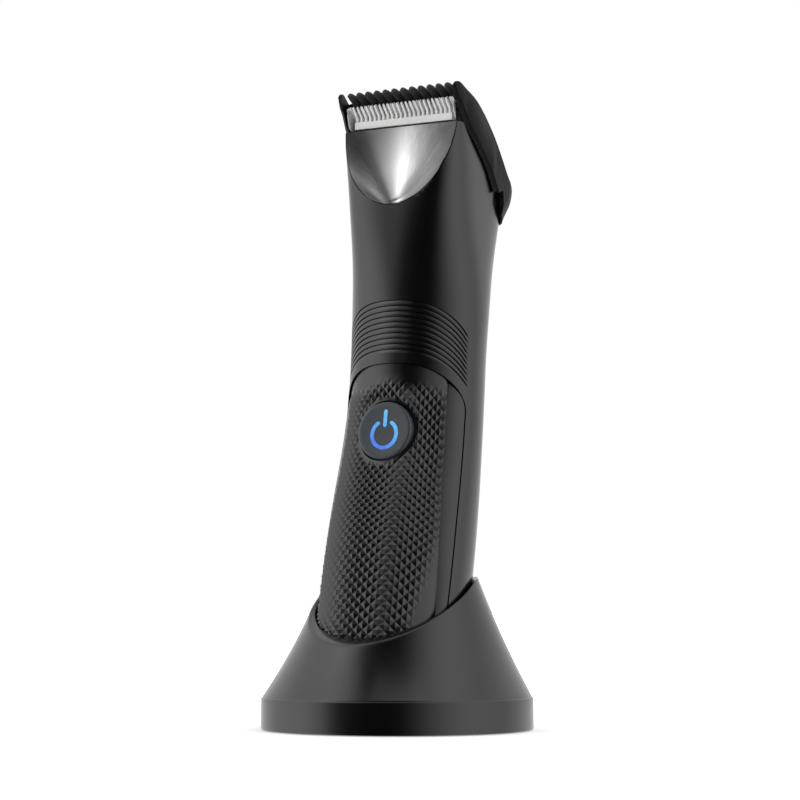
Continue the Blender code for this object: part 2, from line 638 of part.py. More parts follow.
def build_bottom_cap(m):
    foot = FOOT_Z
    flange = foot + CAP_THICKNESS
    plug = -(WALL + GAP)
    groove = plug - 1.1 * MM
    steps = [(foot, -1.6 * MM), (foot + 0.4 * MM, -0.7 * MM), (foot + 1.1 * MM, -0.1 * MM), (flange, 0.0),
             (flange, plug), (flange + 1.4 * MM, plug), (flange + 1.4 * MM, groove),
             (flange + 2.8 * MM, groove), (flange + 2.8 * MM, plug), (flange + PLUG_HEIGHT, plug)]
    cap = loft("bottom_cap", [body_ring(z, offset) for z, offset in steps], m["satin"])
    seal = [(flange + 1.6 * MM, groove + 0.15 * MM), (flange + 1.6 * MM, plug + 0.1 * MM),
            (flange + 2.6 * MM, plug + 0.1 * MM), (flange + 2.6 * MM, groove + 0.15 * MM)]
    loft("cap_seal", [body_ring(z, offset) for z, offset in seal], m["rubber"], closed=True)
    for side, x in (("left", -PIN_SPACING), ("right", PIN_SPACING)):
        hole = [(1.9 * MM, -3 * MM), (1.9 * MM, 14 * MM)]
        contact = [(1.6 * MM, 0.05 * MM), (1.6 * MM, 8.9 * MM)]
        cut(cap, turned("contact_hole_" + side, hole, m["brass"], LOWER, 16, x))
        turned("charging_contact_" + side, contact, m["brass"], LOWER, 16, x)
    for name, y in (("cap_screw_front", -9.5 * MM), ("cap_screw_back", 9.5 * MM)):
        cut(cap, turned(name + "_hole", [(2.2 * MM, -3 * MM), (2.2 * MM, 2.0 * MM), (1.2 * MM, 2.0 * MM),
                                         (1.2 * MM, 14 * MM)], m["zinc"], LOWER, 12, 0.0, y))
        profile = [(1.8 * MM, 0.5 * MM), (1.8 * MM, 1.7 * MM), (0.9 * MM, 1.7 * MM), (0.9 * MM, 11.5 * MM)]
        turned(name, profile, m["zinc"], LOWER, 10, 0.0, y)


# ---- inside the groomer ----------------------------------------------------------------------
def build_power(m):
    """Battery in its cradle, circuit board on the inner frame, switch and light under the button."""
    shift = BATTERY_SHIFT
    start = BATTERY_START
    end = start + BATTERY_LENGTH
    turned("battery", [(BATTERY_RADIUS - 0.5 * MM, start), (BATTERY_RADIUS, start + 0.5 * MM),
                       (BATTERY_RADIUS, end - 1 * MM), (BATTERY_RADIUS - 1 * MM, end),
                       (2.4 * MM, end), (2.4 * MM, end + 1 * MM)], m["cell"], LOWER, ROUND, 0.0, shift)
    arc = [math.radians(-10 + 200 * i / 12) for i in range(13)]
    outline = [(8.6 * MM * math.cos(a), shift + 8.6 * MM * math.sin(a)) for a in arc]
    outline += [(7.3 * MM * math.cos(a), shift + 7.3 * MM * math.sin(a)) for a in reversed(arc)]
    prism("battery_cradle", outline, start + 1 * MM, end - 3 * MM, m["inner"], LOWER)

    back = -BOARD_DEPTH
    block("circuit_board", (-9.5 * MM, -20 * MM, back - 1.2 * MM), (9.5 * MM, 24 * MM, back), m["board"], BUTTON)
    profile = [(-10.9 * MM, back + 0.8 * MM), (-10.9 * MM, back - 2.6 * MM), (10.9 * MM, back - 2.6 * MM),
               (10.9 * MM, back + 0.8 * MM), (9.8 * MM, back + 0.8 * MM), (9.8 * MM, back - 1.5 * MM),
               (-9.8 * MM, back - 1.5 * MM), (-9.8 * MM, back + 0.8 * MM)]
    upward = BUTTON @ frame((0, 0, 0), (1, 0, 0), (0, 0, 1), (0, -1, 0))
    prism("inner_frame", profile, -25 * MM, 19 * MM, m["inner"], upward)
    block("tactile_switch", (-3 * MM, -3 * MM, back + 0.05 * MM), (3 * MM, 3 * MM, back + 2.0 * MM), m["inner"],
          BUTTON)
    block("indicator_led", (-1.2 * MM, 5.5 * MM, back + 0.05 * MM), (1.2 * MM, 7.5 * MM, back + 0.6 * MM),
          m["white"], BUTTON)
    block("charge_chip", (-3 * MM, -17 * MM, back + 0.05 * MM), (3 * MM, -11.5 * MM, back + 1.1 * MM), m["matte"],
          BUTTON)
    for side, x, mat in (("red", 3.0 * MM, m["red"]), ("black", -3.0 * MM, m["matte"])):
        points = [(x, shift, end + 1.6 * MM), (x * 1.6, shift + 2 * MM, end + 6 * MM),
                  (x * 2.0, shift + 1 * MM, end + 14 * MM), (x * 1.8, shift - 1 * MM, end + 24 * MM)]
        wire("battery_lead_" + side, points, LEAD_RADIUS, mat, LOWER)


def build_drive(m):
    """Motor, its bracket and screws, and the turning eccentric with its pin."""
    body = [(MOTOR_RADIUS - 1 * MM, -MOTOR_LENGTH), (MOTOR_RADIUS, -MOTOR_LENGTH + 1 * MM),
            (MOTOR_RADIUS, -0.8 * MM), (MOTOR_RADIUS - 0.8 * MM, 0.0)]
    turned("motor", body, m["zinc"], MOTOR, 28)
    bracket = turned("motor_bracket", [(12.2 * MM, 0.4 * MM), (12.2 * MM, 2.0 * MM)], m["inner"], MOTOR, 28)
    cut(bracket, turned("shaft_hole", [(3.4 * MM, -1 * MM), (3.4 * MM, 4 * MM)], m["inner"], MOTOR, 16))
    for side, x in (("left", -5.6 * MM), ("right", 5.6 * MM)):
        cut(bracket, turned("motor_screw_hole_" + side, [(1.1 * MM, -1 * MM), (1.1 * MM, 4 * MM)], m["inner"],
                            MOTOR, 10, x))
        turned("motor_screw_" + side, [(0.8 * MM, 0.25 * MM), (0.8 * MM, 2.3 * MM), (1.5 * MM, 2.3 * MM),
                                       (1.5 * MM, 3.1 * MM)], m["zinc"], MOTOR, 10, x)
    shaft = [(1.0 * MM, 0.3 * MM), (1.0 * MM, 6.6 * MM)]
    turned("motor_shaft", shaft, m["steel"], MOTOR, 12)
    cam = [(1.2 * MM, 3.6 * MM), (3.0 * MM, 3.6 * MM), (3.0 * MM, 6.9 * MM), (1.2 * MM, 6.9 * MM)]
    loft("eccentric_cam", [circle(r, z, 20) for r, z in cam], m["white"], MOTOR, closed=True)
    top = YOKE_BOTTOM_Z - MOTOR_TOP_Z - 0.6 * MM
    turned("crank_pin", [(CRANK_PIN_RADIUS, 7.2 * MM), (CRANK_PIN_RADIUS, top)], m["steel"], MOTOR, 12,
           0.0, CRANK_PIN_OFFSET)
    for side, x, mat in (("red", 4.0 * MM, m["red"]), ("black", -4.0 * MM, m["matte"])):
        points = [(x, 0.0, -MOTOR_LENGTH - 0.6 * MM), (x, 0.0, -MOTOR_LENGTH - 5 * MM),
                  (x * 1.1, -2 * MM, -MOTOR_LENGTH - 10 * MM)]
        wire("motor_lead_" + side, points, LEAD_RADIUS, mat, MOTOR)


# ---- blade module ----------------------------------------------------------------------------
def comb_outline(half, count, pitch, share, front, depth, back):
    """Plan of a toothed blade: tips at local Y front, slots of the given depth."""
    points = [(-half, back), (-half, front + depth)]
    first = -pitch * (count - 1) / 2
    width = pitch * share / 2
    for i in range(count):
        x = first + i * pitch
        points += [(x - width, front + depth), (x - width * 0.55, front),
                   (x + width * 0.55, front), (x + width, front + depth)]
    return points + [(half, front + depth), (half, back)]


def build_blades(m):
    teeth = comb_outline(CUTTER_HALF_WIDTH + 0.2 * MM, TOOTH_COUNT, TOOTH_PITCH, TOOTH_SHARE, 0.0, TOOTH_DEPTH,
                         TOOTH_DEPTH + 0.6 * MM)
    half = BLADE_HALF_WIDTH
    tab_front = 0.1 * MM
    inner = CUTTER_HALF_WIDTH + 0.2 * MM
    outline = [(-half, BLADE_LENGTH), (-half, tab_front + 1.4 * MM), (-half + 1.2 * MM, tab_front),
               (-inner - 0.1 * MM, tab_front)]
    outline += teeth[1:-1]
    outline += [(inner + 0.1 * MM, tab_front), (half - 1.2 * MM, tab_front), (half, tab_front + 1.4 * MM),
                (half, BLADE_LENGTH)]
    blade = prism("fixed_blade", outline, -BLADE_THICKNESS, 0.0, m["steel"], BLADE)

    def slope_point(y, z):
        p = BLADE @ Vector((0, y, z))
        return (p.y, p.z)

    under = -BLADE_THICKNESS - 0.12 * MM
    side = [slope_point(-0.2 * MM, under), slope_point(8.3 * MM, under), (6.9 * MM, 169.0 * MM),
            (3.2 * MM, 169.2 * MM), (3.2 * MM, 172.3 * MM), slope_point(-0.2 * MM, under - 0.3 * MM)]
    cutter = side_prism("cutter_blade", side, CUTTER_HALF_WIDTH, m["ceramic"])
    plan = comb_outline(CUTTER_HALF_WIDTH, TOOTH_COUNT, TOOTH_PITCH, 0.45, -1.0 * MM, 5.4 * MM, 12 * MM)
    tooth_zone = prism("cutter_plan", plan, 171.2 * MM, 180 * MM, m["ceramic"])
    join(tooth_zone, block("cutter_base", (-20 * MM, -3 * MM, 160 * MM), (20 * MM, 12 * MM, 171.2 * MM + 0.01 * MM),
                           m["ceramic"]))
    cross(cutter, tooth_zone)

    fork_side = [slope_point(9.8 * MM, -2.2 * MM), slope_point(24.9 * MM, -2.2 * MM),
                 (19.2 * MM, YOKE_BOTTOM_Z), (14.0 * MM, YOKE_BOTTOM_Z), slope_point(19.8 * MM, -4.2 * MM),
                 slope_point(10.4 * MM, -4.2 * MM)]
    fork = side_prism("drive_fork", fork_side, 4.5 * MM, m["white"])
    cut(fork, block("fork_slot", (-1.1 * MM, 14.8 * MM, 150 * MM), (1.1 * MM, 24 * MM, 156.6 * MM), m["white"]))

    holder = body_loft("blade_holder", 138 * MM, 179.5 * MM, -GAP, m["matte"], 12)
    slab = block("holder_slab", (-30 * MM, HOLDER_WINDOW_BACK, HOLDER_BOTTOM),
                 (30 * MM, 60 * MM, HOLDER_TOP), m["matte"], BLADE)
    cheek_side = [(2.9 * MM, HEAD_TOP + GAP), slope_point(2.0 * MM, HOLDER_TOP), slope_point(12.8 * MM, HOLDER_TOP),
                  slope_point(12.8 * MM, HOLDER_BOTTOM), (7.0 * MM, HEAD_TOP + GAP)]
    cheeks = side_prism("holder_cheeks", cheek_side, 30 * MM, m["matte"])
    cut(cheeks, block("holder_window", (-17.1 * MM, -10 * MM, -20 * MM), (17.1 * MM, HOLDER_WINDOW_BACK, 5 * MM),
                      m["matte"], BLADE))
    join(slab, cheeks)
    cross(holder, slab)
    for side_name, x in (("left", -BLADE_SCREW_X), ("right", BLADE_SCREW_X)):
        for target in (blade, holder):
            hole = turned("screw_hole_" + side_name + "_" + target.name, [(1.0 * MM, -6 * MM), (1.0 * MM, 4 * MM)],
                          m["zinc"], BLADE, 10, x, BLADE_SCREW_Y)
            cut(target, hole)
        profile = [(0.7 * MM, -1.9 * MM), (0.7 * MM, 0.15 * MM), (1.1 * MM, 0.15 * MM), (1.1 * MM, 0.6 * MM)]
        turned("blade_screw_" + side_name, profile, m["zinc"], BLADE, 10, x, BLADE_SCREW_Y)
    spring = [(-12 * MM, 13.3 * MM, -2.5 * MM), (-12 * MM, 12.2 * MM, -2.5 * MM), (-6 * MM, 11.2 * MM, -2.6 * MM)]
    wire("cutter_spring_left", spring, 0.35 * MM, m["steel"], BLADE)
    wire("cutter_spring_right", [(-x, y, z) for x, y, z in spring], 0.35 * MM, m["steel"], BLADE)


# ---- guard comb ------------------------------------------------------------------------------
# side views in mm as (depth, height): the outer line from tooth tip to heel, lower edges, and the heel
COMB_TOP = ((-0.6, 178.5), (0.0, 179.2), (1.2, 179.4), (2.1, 179.1), (4.4, 177.9), (9.0, 175.7), (12.9, 173.2),
            (17.1, 169.7), (21.1, 166.0), (25.4, 161.0), (29.2, 156.3), (33.0, 153.0), (37.0, 150.5),
            (41.0, 148.5))
ARM_LOW = ((-0.6, 177.8), (0.6, 175.2), (2.6, 173.3), (4.9, 169.8), (7.6, 166.6), (12.4, 162.5), (16.4, 159.1),
           (19.5, 155.9), (23.0, 151.0), (28.8, 153.3))
TOOTH_LOW = ((-0.6, 177.9), (0.6, 177.0), (2.0, 176.4), (4.0, 175.3), (9.0, 172.9), (12.9, 171.6), (15.5, 170.6))
HEEL_LOW = ((44.0, 148.0), (44.0, 143.5), (30.5, 143.5), (27.0, 145.5), (26.0, 149.0), (25.5, 153.6),
            (18.0, 160.0), (14.0, 165.5))
SHEET_START = 6


def line_at(rows, depth):
    """Height of a broken line at a depth, both in mm."""
    i = max(k for k in range(len(rows) - 1) if rows[k][0] <= depth or k == 0)
    y0, z0 = rows[i]
    y1, z1 = rows[i + 1]
    return z0 + (z1 - z0) * (depth - y0) / (y1 - y0)


def comb_plate(name, inner_x, outward, low, lead, mat):
    """An upright plate under the comb's outer line. Its inner lower edge leads the outer one by lead."""
    last = low[-1][0]
    rings = []
    for depth in sorted({y for y, _ in low + COMB_TOP if y <= last}):
        x = inner_x(depth)
        inner_low = line_at(low, min(depth + lead, last)) * MM
        outer_low = line_at(low, depth) * MM
        top = line_at(COMB_TOP, depth) * MM - 2 * COMB_INSET
        rings.append([Vector((x, depth * MM, inner_low)), Vector((x + outward, depth * MM, outer_low)),
                      Vector((x + outward, depth * MM, top)), Vector((x, depth * MM, top))])
    return loft(name, rings, mat)


def arm_x(depth):
    """Distance from the middle to an arm's inner side: the arms flare out, then run straight."""
    straight = section(157 * MM)[0] + COMB_GAP + COMB_INSET
    return min(17.95 * MM + 0.15 * depth * MM, straight)


def comb_offset(z):
    """How far the heel's outer wall stands off the body: a thin lower edge, a swell, then even."""
    swell = COMB_HEEL_SWELL * (1.0 - smooth(151 * MM, 163 * MM, z))
    edge = COMB_GAP + COMB_HEEL_EDGE
    return edge + (COMB_WALL - COMB_HEEL_EDGE + swell) * smooth(143 * MM, 150.5 * MM, z)


def comb_loft(name, inset, mat):
    heights = [(134 + 46 * i / 18) * MM for i in range(19)]
    return loft(name, [body_ring(z, comb_offset(z) - inset) for z in heights], mat)


def build_comb(m):
    comb = comb_loft("guard_comb", 0.0, m["matte"])
    cut(comb, body_loft("comb_inside", 130 * MM, 181 * MM, COMB_GAP, m["matte"], 11))
    heel = [(14.0, 172.3)] + list(COMB_TOP[SHEET_START + 1:]) + list(HEEL_LOW)
    cross(comb, side_prism("comb_heel", [(y * MM, z * MM) for y, z in heel], 40 * MM, m["matte"]))

    outer = [((y - 0.1) * MM, (z - 0.15) * MM) for y, z in COMB_TOP[SHEET_START:-1]]
    inner = [(y - 0.8 * MM, z - 1.1 * MM) for y, z in reversed(outer)]
    sheet = side_prism("comb_sheet", outer + inner, 30 * MM, m["matte"])
    cross(sheet, comb_loft("sheet_limit", COMB_INSET, m["matte"]))
    join(comb, sheet)

    width = COMB_WALL - 2 * COMB_INSET
    join(comb, comb_plate("comb_arm_right", arm_x, width, ARM_LOW, ARM_CHAMFER, m["matte"]))
    join(comb, comb_plate("comb_arm_left", lambda depth: -arm_x(depth), -width, ARM_LOW, ARM_CHAMFER, m["matte"]))
    for i in range(COMB_TEETH):
        near = COMB_PITCH * (i - (COMB_TEETH - 1) / 2) - COMB_TOOTH_WIDTH / 2
        join(comb, comb_plate("comb_tooth_%02d" % (i + 1), lambda _: near, COMB_TOOTH_WIDTH, TOOTH_LOW, 0.0,
                              m["matte"]))


# ---- assembly --------------------------------------------------------------------------------
def build():
    for obj in list(bpy.data.objects):
        bpy.data.objects.remove(obj)
    m = make_materials()
    build_stand(m)
    build_housing(m)
    build_bib(m)
    build_grip_panel(m)
    build_button(m)
    build_bottom_cap(m)
    build_power(m)
    build_drive(m)
    build_blades(m)
    build_comb(m)


build()
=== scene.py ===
"""Looks of the body groomer in its charging stand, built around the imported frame.

Metres, +Z up, button side towards -Y. Sizes are written in millimetres times MM.
"""

import json
import math

import bmesh
import bpy
from mathutils import Matrix, Vector


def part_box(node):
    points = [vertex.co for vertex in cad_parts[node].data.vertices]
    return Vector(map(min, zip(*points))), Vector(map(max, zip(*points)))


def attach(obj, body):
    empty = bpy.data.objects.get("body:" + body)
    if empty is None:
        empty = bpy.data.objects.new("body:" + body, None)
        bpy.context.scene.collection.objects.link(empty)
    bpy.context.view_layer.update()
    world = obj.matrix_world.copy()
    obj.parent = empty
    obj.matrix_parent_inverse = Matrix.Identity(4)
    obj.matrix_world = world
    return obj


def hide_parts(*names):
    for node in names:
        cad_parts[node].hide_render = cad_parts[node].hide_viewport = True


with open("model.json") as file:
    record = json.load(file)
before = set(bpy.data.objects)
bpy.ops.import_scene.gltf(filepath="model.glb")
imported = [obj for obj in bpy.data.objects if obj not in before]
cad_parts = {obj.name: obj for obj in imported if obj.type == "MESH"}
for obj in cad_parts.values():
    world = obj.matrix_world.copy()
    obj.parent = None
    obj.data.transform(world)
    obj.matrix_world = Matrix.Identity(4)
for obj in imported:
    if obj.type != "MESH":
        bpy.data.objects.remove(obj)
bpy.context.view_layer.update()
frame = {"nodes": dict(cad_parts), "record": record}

MM = 0.001

# ---- sizes shared with the frame -------------------------------------------------------------
HEAD_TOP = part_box("housing")[1].z
BASE_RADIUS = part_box("stand_shell")[1].x
BLADE_TIP_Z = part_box("fixed_blade")[1].z
LOWER_SLOPE = 0.24
UPPER_SLOPE = 0.10
AXIS_CROSSING_Z = 43.1 * MM
BEND_START = 70.0 * MM
BEND_END = 106.0 * MM
UNTILT_START = 44.0 * MM
UNTILT_END = 74.0 * MM
# height, half width, half depth (mm) and squareness of the body's horizontal section
BODY_SECTIONS = (
    (9.0, 21.1, 18.3, 2.0),
    (43.0, 21.6, 18.8, 2.0),
    (63.0, 21.2, 17.7, 2.0),
    (82.0, 20.35, 16.5, 2.0),
    (100.0, 19.7, 17.1, 2.0),
    (118.0, 19.8, 17.4, 2.1),
    (132.0, 19.2, 18.6, 2.5),
    (145.5, 18.7, 19.9, 3.4),
    (157.5, 18.9, 20.4, 4.5),
    (168.5, 18.9, 20.5, 6.5),
    (180.0, 18.9, 20.5, 7.0),
)

# ---- housing, panel and button ---------------------------------------------------------------
HOUSING_BOTTOM = 17.3 * MM
WALL = 2.6 * MM
PANEL_ARCH_TOP = 101.0 * MM
PANEL_ARCH_START = 85.0 * MM
PANEL_BOTTOM = 21.3 * MM
PANEL_SHARE = 0.945
PANEL_SEAM = 0.28 * MM
POCKET_DEPTH = 1.5 * MM
GROOVE_COUNT = 10
GROOVE_TOP = 118.6 * MM
GROOVE_PITCH = 1.53 * MM
GROOVE_DEPTH = 0.28 * MM
GROOVE_HALF_SPAN = 19.3 * MM
GROOVE_ARCH = 16.0 * MM
BUTTON_Z = 82.0 * MM
BUTTON_RADIUS = 8.3 * MM
BUTTON_LEAN = 0.17
BUTTON_FACE = 0.3 * MM
BUTTON_BORE = BUTTON_RADIUS + 0.35 * MM
BUTTON_ROUND = 0.7 * MM
ICON_RING_RADIUS = 3.8 * MM
ICON_RING_DROP = 1.0 * MM
ICON_STROKE = 1.0 * MM
ICON_OPENING = math.radians(34.0)
ICON_BAR_START = 1.1 * MM
ICON_BAR_END = 6.0 * MM

# ---- head ------------------------------------------------------------------------------------
BIB_LOW = (-3.64 * MM, 145.5 * MM)
BIB_SLOPE = 0.2507
BIB_HALF_WIDTH = 18.1 * MM
BIB_LENGTH = 25.0 * MM
BIB_THICKNESS = 1.5 * MM
BIB_WALL = BIB_THICKNESS + 1.8 * MM
BIB_SEAM = 0.35 * MM
BIB_DISH = 0.22 * MM
BLADE_TIP_Y = 1.5 * MM
BLADE_ANGLE = math.radians(40.0)
HEAD_SLOPE_CUT = -2.0 * MM

# ---- stand -----------------------------------------------------------------------------------
BAND_BOTTOM = 0.2 * MM
BAND_TOP = 9.1 * MM
# rounded edges of the band (mm): inwards, and up from its foot or down from its top
BAND_LOW_EDGE = ((0.30, 0.0), (0.09, 0.09), (0.0, 0.3))
BAND_TOP_EDGE = ((0.04, 0.32), (0.15, 0.17), (0.34, 0.08))
FLARE_FOOT_RADIUS = 37.15 * MM
FLARE_HOLLOW = 0.18
RIM_ANGLE = math.radians(29.0)
RIM_ROLL = 11.5 * MM
RIM_INNER_Z = 38.4 * MM
RIM_OUTER_Z = 38.8 * MM
RIM_FRONT_WIDTH = 3.8 * MM
RIM_SIDE_WIDTH = 0.9 * MM
RIM_BACK_WIDTH = 1.1 * MM
SOCKET_CLEARANCE = 0.4 * MM
SOCKET_WALL = 1.4 * MM
SOCKET_FLOOR = -3.4 * MM
STAND_WALL = 1.6 * MM
FOOT_Z = 14.0 * MM
PORT_Z = 4.8 * MM
PORT_HALF_WIDTH = 4.9 * MM
PORT_HALF_HEIGHT = 1.9 * MM
PORT_ROUND = 0.9 * MM

# ---- blades ----------------------------------------------------------------------------------
BLADE_LENGTH = 11.8 * MM
BLADE_THICKNESS = 0.5 * MM
BLADE_HALF_WIDTH = 17.7 * MM
BLADE_TEETH = 26
BLADE_PITCH = 1.20 * MM
BLADE_SLOT = 4.0 * MM
BLADE_TAB_FRONT = 0.1 * MM
BLADE_TAB_ROUND = 1.3 * MM
# sideways in pitches and depth in slot depths
BLADE_TOOTH = ((-0.43, 1.0), (-0.36, 0.35), (-0.12, 0.0), (0.12, 0.0), (0.36, 0.35), (0.43, 1.0))
BLADE_CHEEK = 17.07 * MM
BLADE_CHEEK_WALL = 0.2 * MM
BLADE_SCREW_X = 10.0 * MM
BLADE_SCREW_Y = 10.5 * MM

# ---- comb: side views in mm as (depth, height) -----------------------------------------------
COMB_GAP = 0.35 * MM
COMB_WALL = 1.2 * MM
COMB_INSET = 0.05 * MM
COMB_HEEL_SWELL = 0.6 * MM
COMB_HEEL_EDGE = 0.4 * MM
COMB_PITCH = 2.83 * MM
COMB_TEETH = 12
COMB_TIP_WIDTH = 0.8 * MM
COMB_ROOT = 4.8
COMB_VALLEY = 0.9
ARM_CHAMFER = 1.4
ARM_BLEND = 0.5 * MM
COMB_TOP = ((-0.6, 178.5), (0.0, 179.2), (1.2, 179.4), (2.1, 179.1), (4.4, 177.9), (9.0, 175.7),
            (12.9, 173.2), (17.1, 169.7), (21.1, 166.0), (25.4, 161.0), (29.2, 156.3), (33.0, 153.0),
            (37.0, 150.5), (41.0, 148.5))
ARM_LOW = ((-0.6, 177.8), (0.6, 175.2), (2.6, 173.3), (4.9, 169.8), (7.6, 166.6), (12.4, 162.5),
           (16.4, 159.1), (19.5, 155.9), (23.0, 151.0), (28.8, 153.3))
TOOTH_LOW = ((-0.6, 177.9), (0.6, 177.0), (2.0, 176.4), (4.0, 175.3), (9.0, 172.9), (12.9, 171.6),
             (15.5, 170.6))
HEEL_LOW = ((44.0, 148.0), (44.0, 143.5), (30.5, 143.5), (27.0, 145.5), (26.0, 149.0), (25.5, 153.6),
            (18.0, 160.0), (14.0, 165.5))
SHEET_START = 12.9
HEEL_START = (14.0, 172.3)
COMB_ROOM = ((-20 * MM, 130 * MM), (60 * MM, 130 * MM), (60 * MM, 190 * MM), (-20 * MM, 190 * MM))


# ---- shape functions -------------------------------------------------------------------------
def smooth(low, high, value):
    """Smooth step from 0 to 1."""
    t = min(max((value - low) / (high - low), 0.0), 1.0)
    return t * t * (3.0 - 2.0 * t)


def spread(low, high, count):
    return [low + (high - low) * i / (count - 1) for i in range(count)]


def centre_y(z):
    """Depth of the body's centre line: straight and leaning below, bending upright above."""
    span = BEND_END - BEND_START
    t = min(max((z - BEND_START) / span, 0.0), 1.0)
    bent = span * (t ** 3 - t ** 4 / 2.0) + max(z - BEND_END, 0.0)
    return LOWER_SLOPE * (z - AXIS_CROSSING_Z) - (LOWER_SLOPE - UPPER_SLOPE) * bent


def follow(table, z):
    """The values at height z on a smooth curve through a table whose rows start with a height in mm."""
    height = z / MM
    last = len(table) - 1
    i = max(k for k in range(last) if table[k][0] <= height or k == 0)
    step = table[i + 1][0] - table[i][0]
    t = (height - table[i][0]) / step

    def slope(k, column):
        low = table[max(k - 1, 0)]
        high = table[min(k + 1, last)]
        return (high[column] - low[column]) / (high[0] - low[0])

    values = []
    for column in range(1, len(table[0])):
        here = (2 * t ** 3 - 3 * t ** 2 + 1) * table[i][column]
        here += (t ** 3 - 2 * t ** 2 + t) * step * slope(i, column)
        here += (3 * t ** 2 - 2 * t ** 3) * table[i + 1][column]
        here += (t ** 3 - t ** 2) * step * slope(i + 1, column)
        values.append(here)
    return values


def section(z):
    """Half width, half depth and squareness of the body at a height."""
    half_x, half_y, power = follow(BODY_SECTIONS, z)
    return half_x * MM, half_y * MM, power


def skin_point(turn, z, offset=0.0, shape=None):
    """A point of the body's skin, turned from the front by an angle, moved out by offset."""
    half_x, half_y, power = shape or section(z)
    tilt = math.atan(LOWER_SLOPE) * (1.0 - smooth(UNTILT_START, UNTILT_END, z))
    half_x += offset
    half_y = half_y * math.cos(tilt) + offset
    s = math.sin(turn)
    c = -math.cos(turn)
    x = half_x * math.copysign(abs(s) ** (2.0 / power), s)
    y = half_y * math.copysign(abs(c) ** (2.0 / power), c)
    return Vector((x, centre_y(z) + y * math.cos(tilt), z - y * math.sin(tilt)))


def front_y(z):
    return centre_y(z) - section(z)[1]


def make_frame(origin, x_axis, y_axis, z_axis):
    m = Matrix((x_axis, y_axis, z_axis)).transposed().to_4x4()
    m.translation = Vector(origin)
    return m


LOWER_TILT = math.atan(LOWER_SLOPE)
LOWER = make_frame((0, centre_y(FOOT_Z), FOOT_Z), (1, 0, 0),
                   (0, math.cos(LOWER_TILT), -math.sin(LOWER_TILT)),
                   (0, math.sin(LOWER_TILT), math.cos(LOWER_TILT)))
BLADE = make_frame((0, BLADE_TIP_Y, BLADE_TIP_Z), (1, 0, 0),
                   (0, math.cos(BLADE_ANGLE), -math.sin(BLADE_ANGLE)),
                   (0, math.sin(BLADE_ANGLE), math.cos(BLADE_ANGLE)))
BUTTON_TILT = math.atan(BUTTON_LEAN)
BUTTON = make_frame((0, front_y(BUTTON_Z), BUTTON_Z), (1, 0, 0),
                    (0, math.sin(BUTTON_TILT), math.cos(BUTTON_TILT)),
                    (0, -math.cos(BUTTON_TILT), math.sin(BUTTON_TILT)))
BIB_TILT = math.atan(BIB_SLOPE)
BIB = make_frame((0, *BIB_LOW), (1, 0, 0),
                 (0, math.sin(BIB_TILT), math.cos(BIB_TILT)),
                 (0, -math.cos(BIB_TILT), math.sin(BIB_TILT)))
SIDEWAYS = make_frame((0, 0, 0), (0, 1, 0), (0, 0, 1), (1, 0, 0))


# ---- mesh helpers ----------------------------------------------------------------------------
def finish_mesh(name, bm, mat, place=None, sharp=35.0):
    """Turns a bmesh into an object with outward faces, smooth except at sharp edges."""
    bmesh.ops.recalc_face_normals(bm, faces=bm.faces)
    if place is not None:
        bmesh.ops.transform(bm, matrix=place, verts=bm.verts)
    mesh = bpy.data.meshes.new(name)
    bm.to_mesh(mesh)
    bm.free()
    if mat:
        mesh.materials.append(mat)
    mesh.shade_smooth()
    mesh.set_sharp_from_angle(angle=math.radians(sharp))
    obj = bpy.data.objects.new(name, mesh)
    bpy.context.collection.objects.link(obj)
    return obj


def loft(name, rings, mat=None, place=None, closed=False, sharp=35.0):
    """Skins a list of rings. Closed joins the last ring to the first, else both ends are capped."""
    bm = bmesh.new()
    loops = [[bm.verts.new(p) for p in ring] for ring in rings]
    count = len(loops)
    for i in range(count if closed else count - 1):
        a = loops[i]
        b = loops[(i + 1) % count]
        for k in range(len(a)):
            j = (k + 1) % len(a)
            bm.faces.new((a[k], a[j], b[j], b[k]))
    if not closed:
        bm.faces.new(loops[0])
        bm.faces.new(loops[-1])
    return finish_mesh(name, bm, mat, place, sharp)


def circle(radius, z, segments):
    return [Vector((radius * math.cos(2 * math.pi * i / segments),
                    radius * math.sin(2 * math.pi * i / segments), z)) for i in range(segments)]


def turned(name, profile, mat=None, place=None, segments=96, sharp=35.0):
    return loft(name, [circle(r, z, segments) for r, z in profile], mat, place, sharp=sharp)


def prism(name, outline, low, high, mat=None, place=None):
    return loft(name, [[Vector((x, y, z)) for x, y in outline] for z in (low, high)], mat, place)


def side_prism(name, outline, half_width=60 * MM):
    return prism(name, outline, -half_width, half_width, None, SIDEWAYS)


def skin_loft(name, heights, offset, segments):
    """A guide that follows the body's skin at an even offset."""
    turns = [2 * math.pi * i / segments for i in range(segments)]
    return loft(name, [[skin_point(a, z, offset) for a in turns] for z in heights])


def boolean(target, tool, operation):
    """Cuts, joins or crosses the target with a guide solid, applies the result and removes the guide."""
    mod = target.modifiers.new("solid", "BOOLEAN")
    mod.object = tool
    mod.operation = operation
    mod.solver = "EXACT"
    bpy.context.view_layer.update()
    evaluated = target.evaluated_get(bpy.context.evaluated_depsgraph_get())
    mesh = bpy.data.meshes.new_from_object(evaluated)
    target.modifiers.clear()
    old = target.data
    target.data = mesh
    mesh.name = target.name
    bpy.data.meshes.remove(old)
    bpy.data.objects.remove(tool)
    return target


def reshade(obj, sharp):
    obj.data.shade_smooth()
    obj.data.set_sharp_from_angle(angle=math.radians(sharp))
    return obj


def bevel(obj, width, segments=2, angle=30.0):
    """Rounds the sharp edges of a finished piece."""
    mod = obj.modifiers.new("edges", "BEVEL")
    mod.width = width
    mod.segments = segments
    mod.limit_method = "ANGLE"
    mod.angle_limit = math.radians(angle)
    mod.harden_normals = False
    return obj


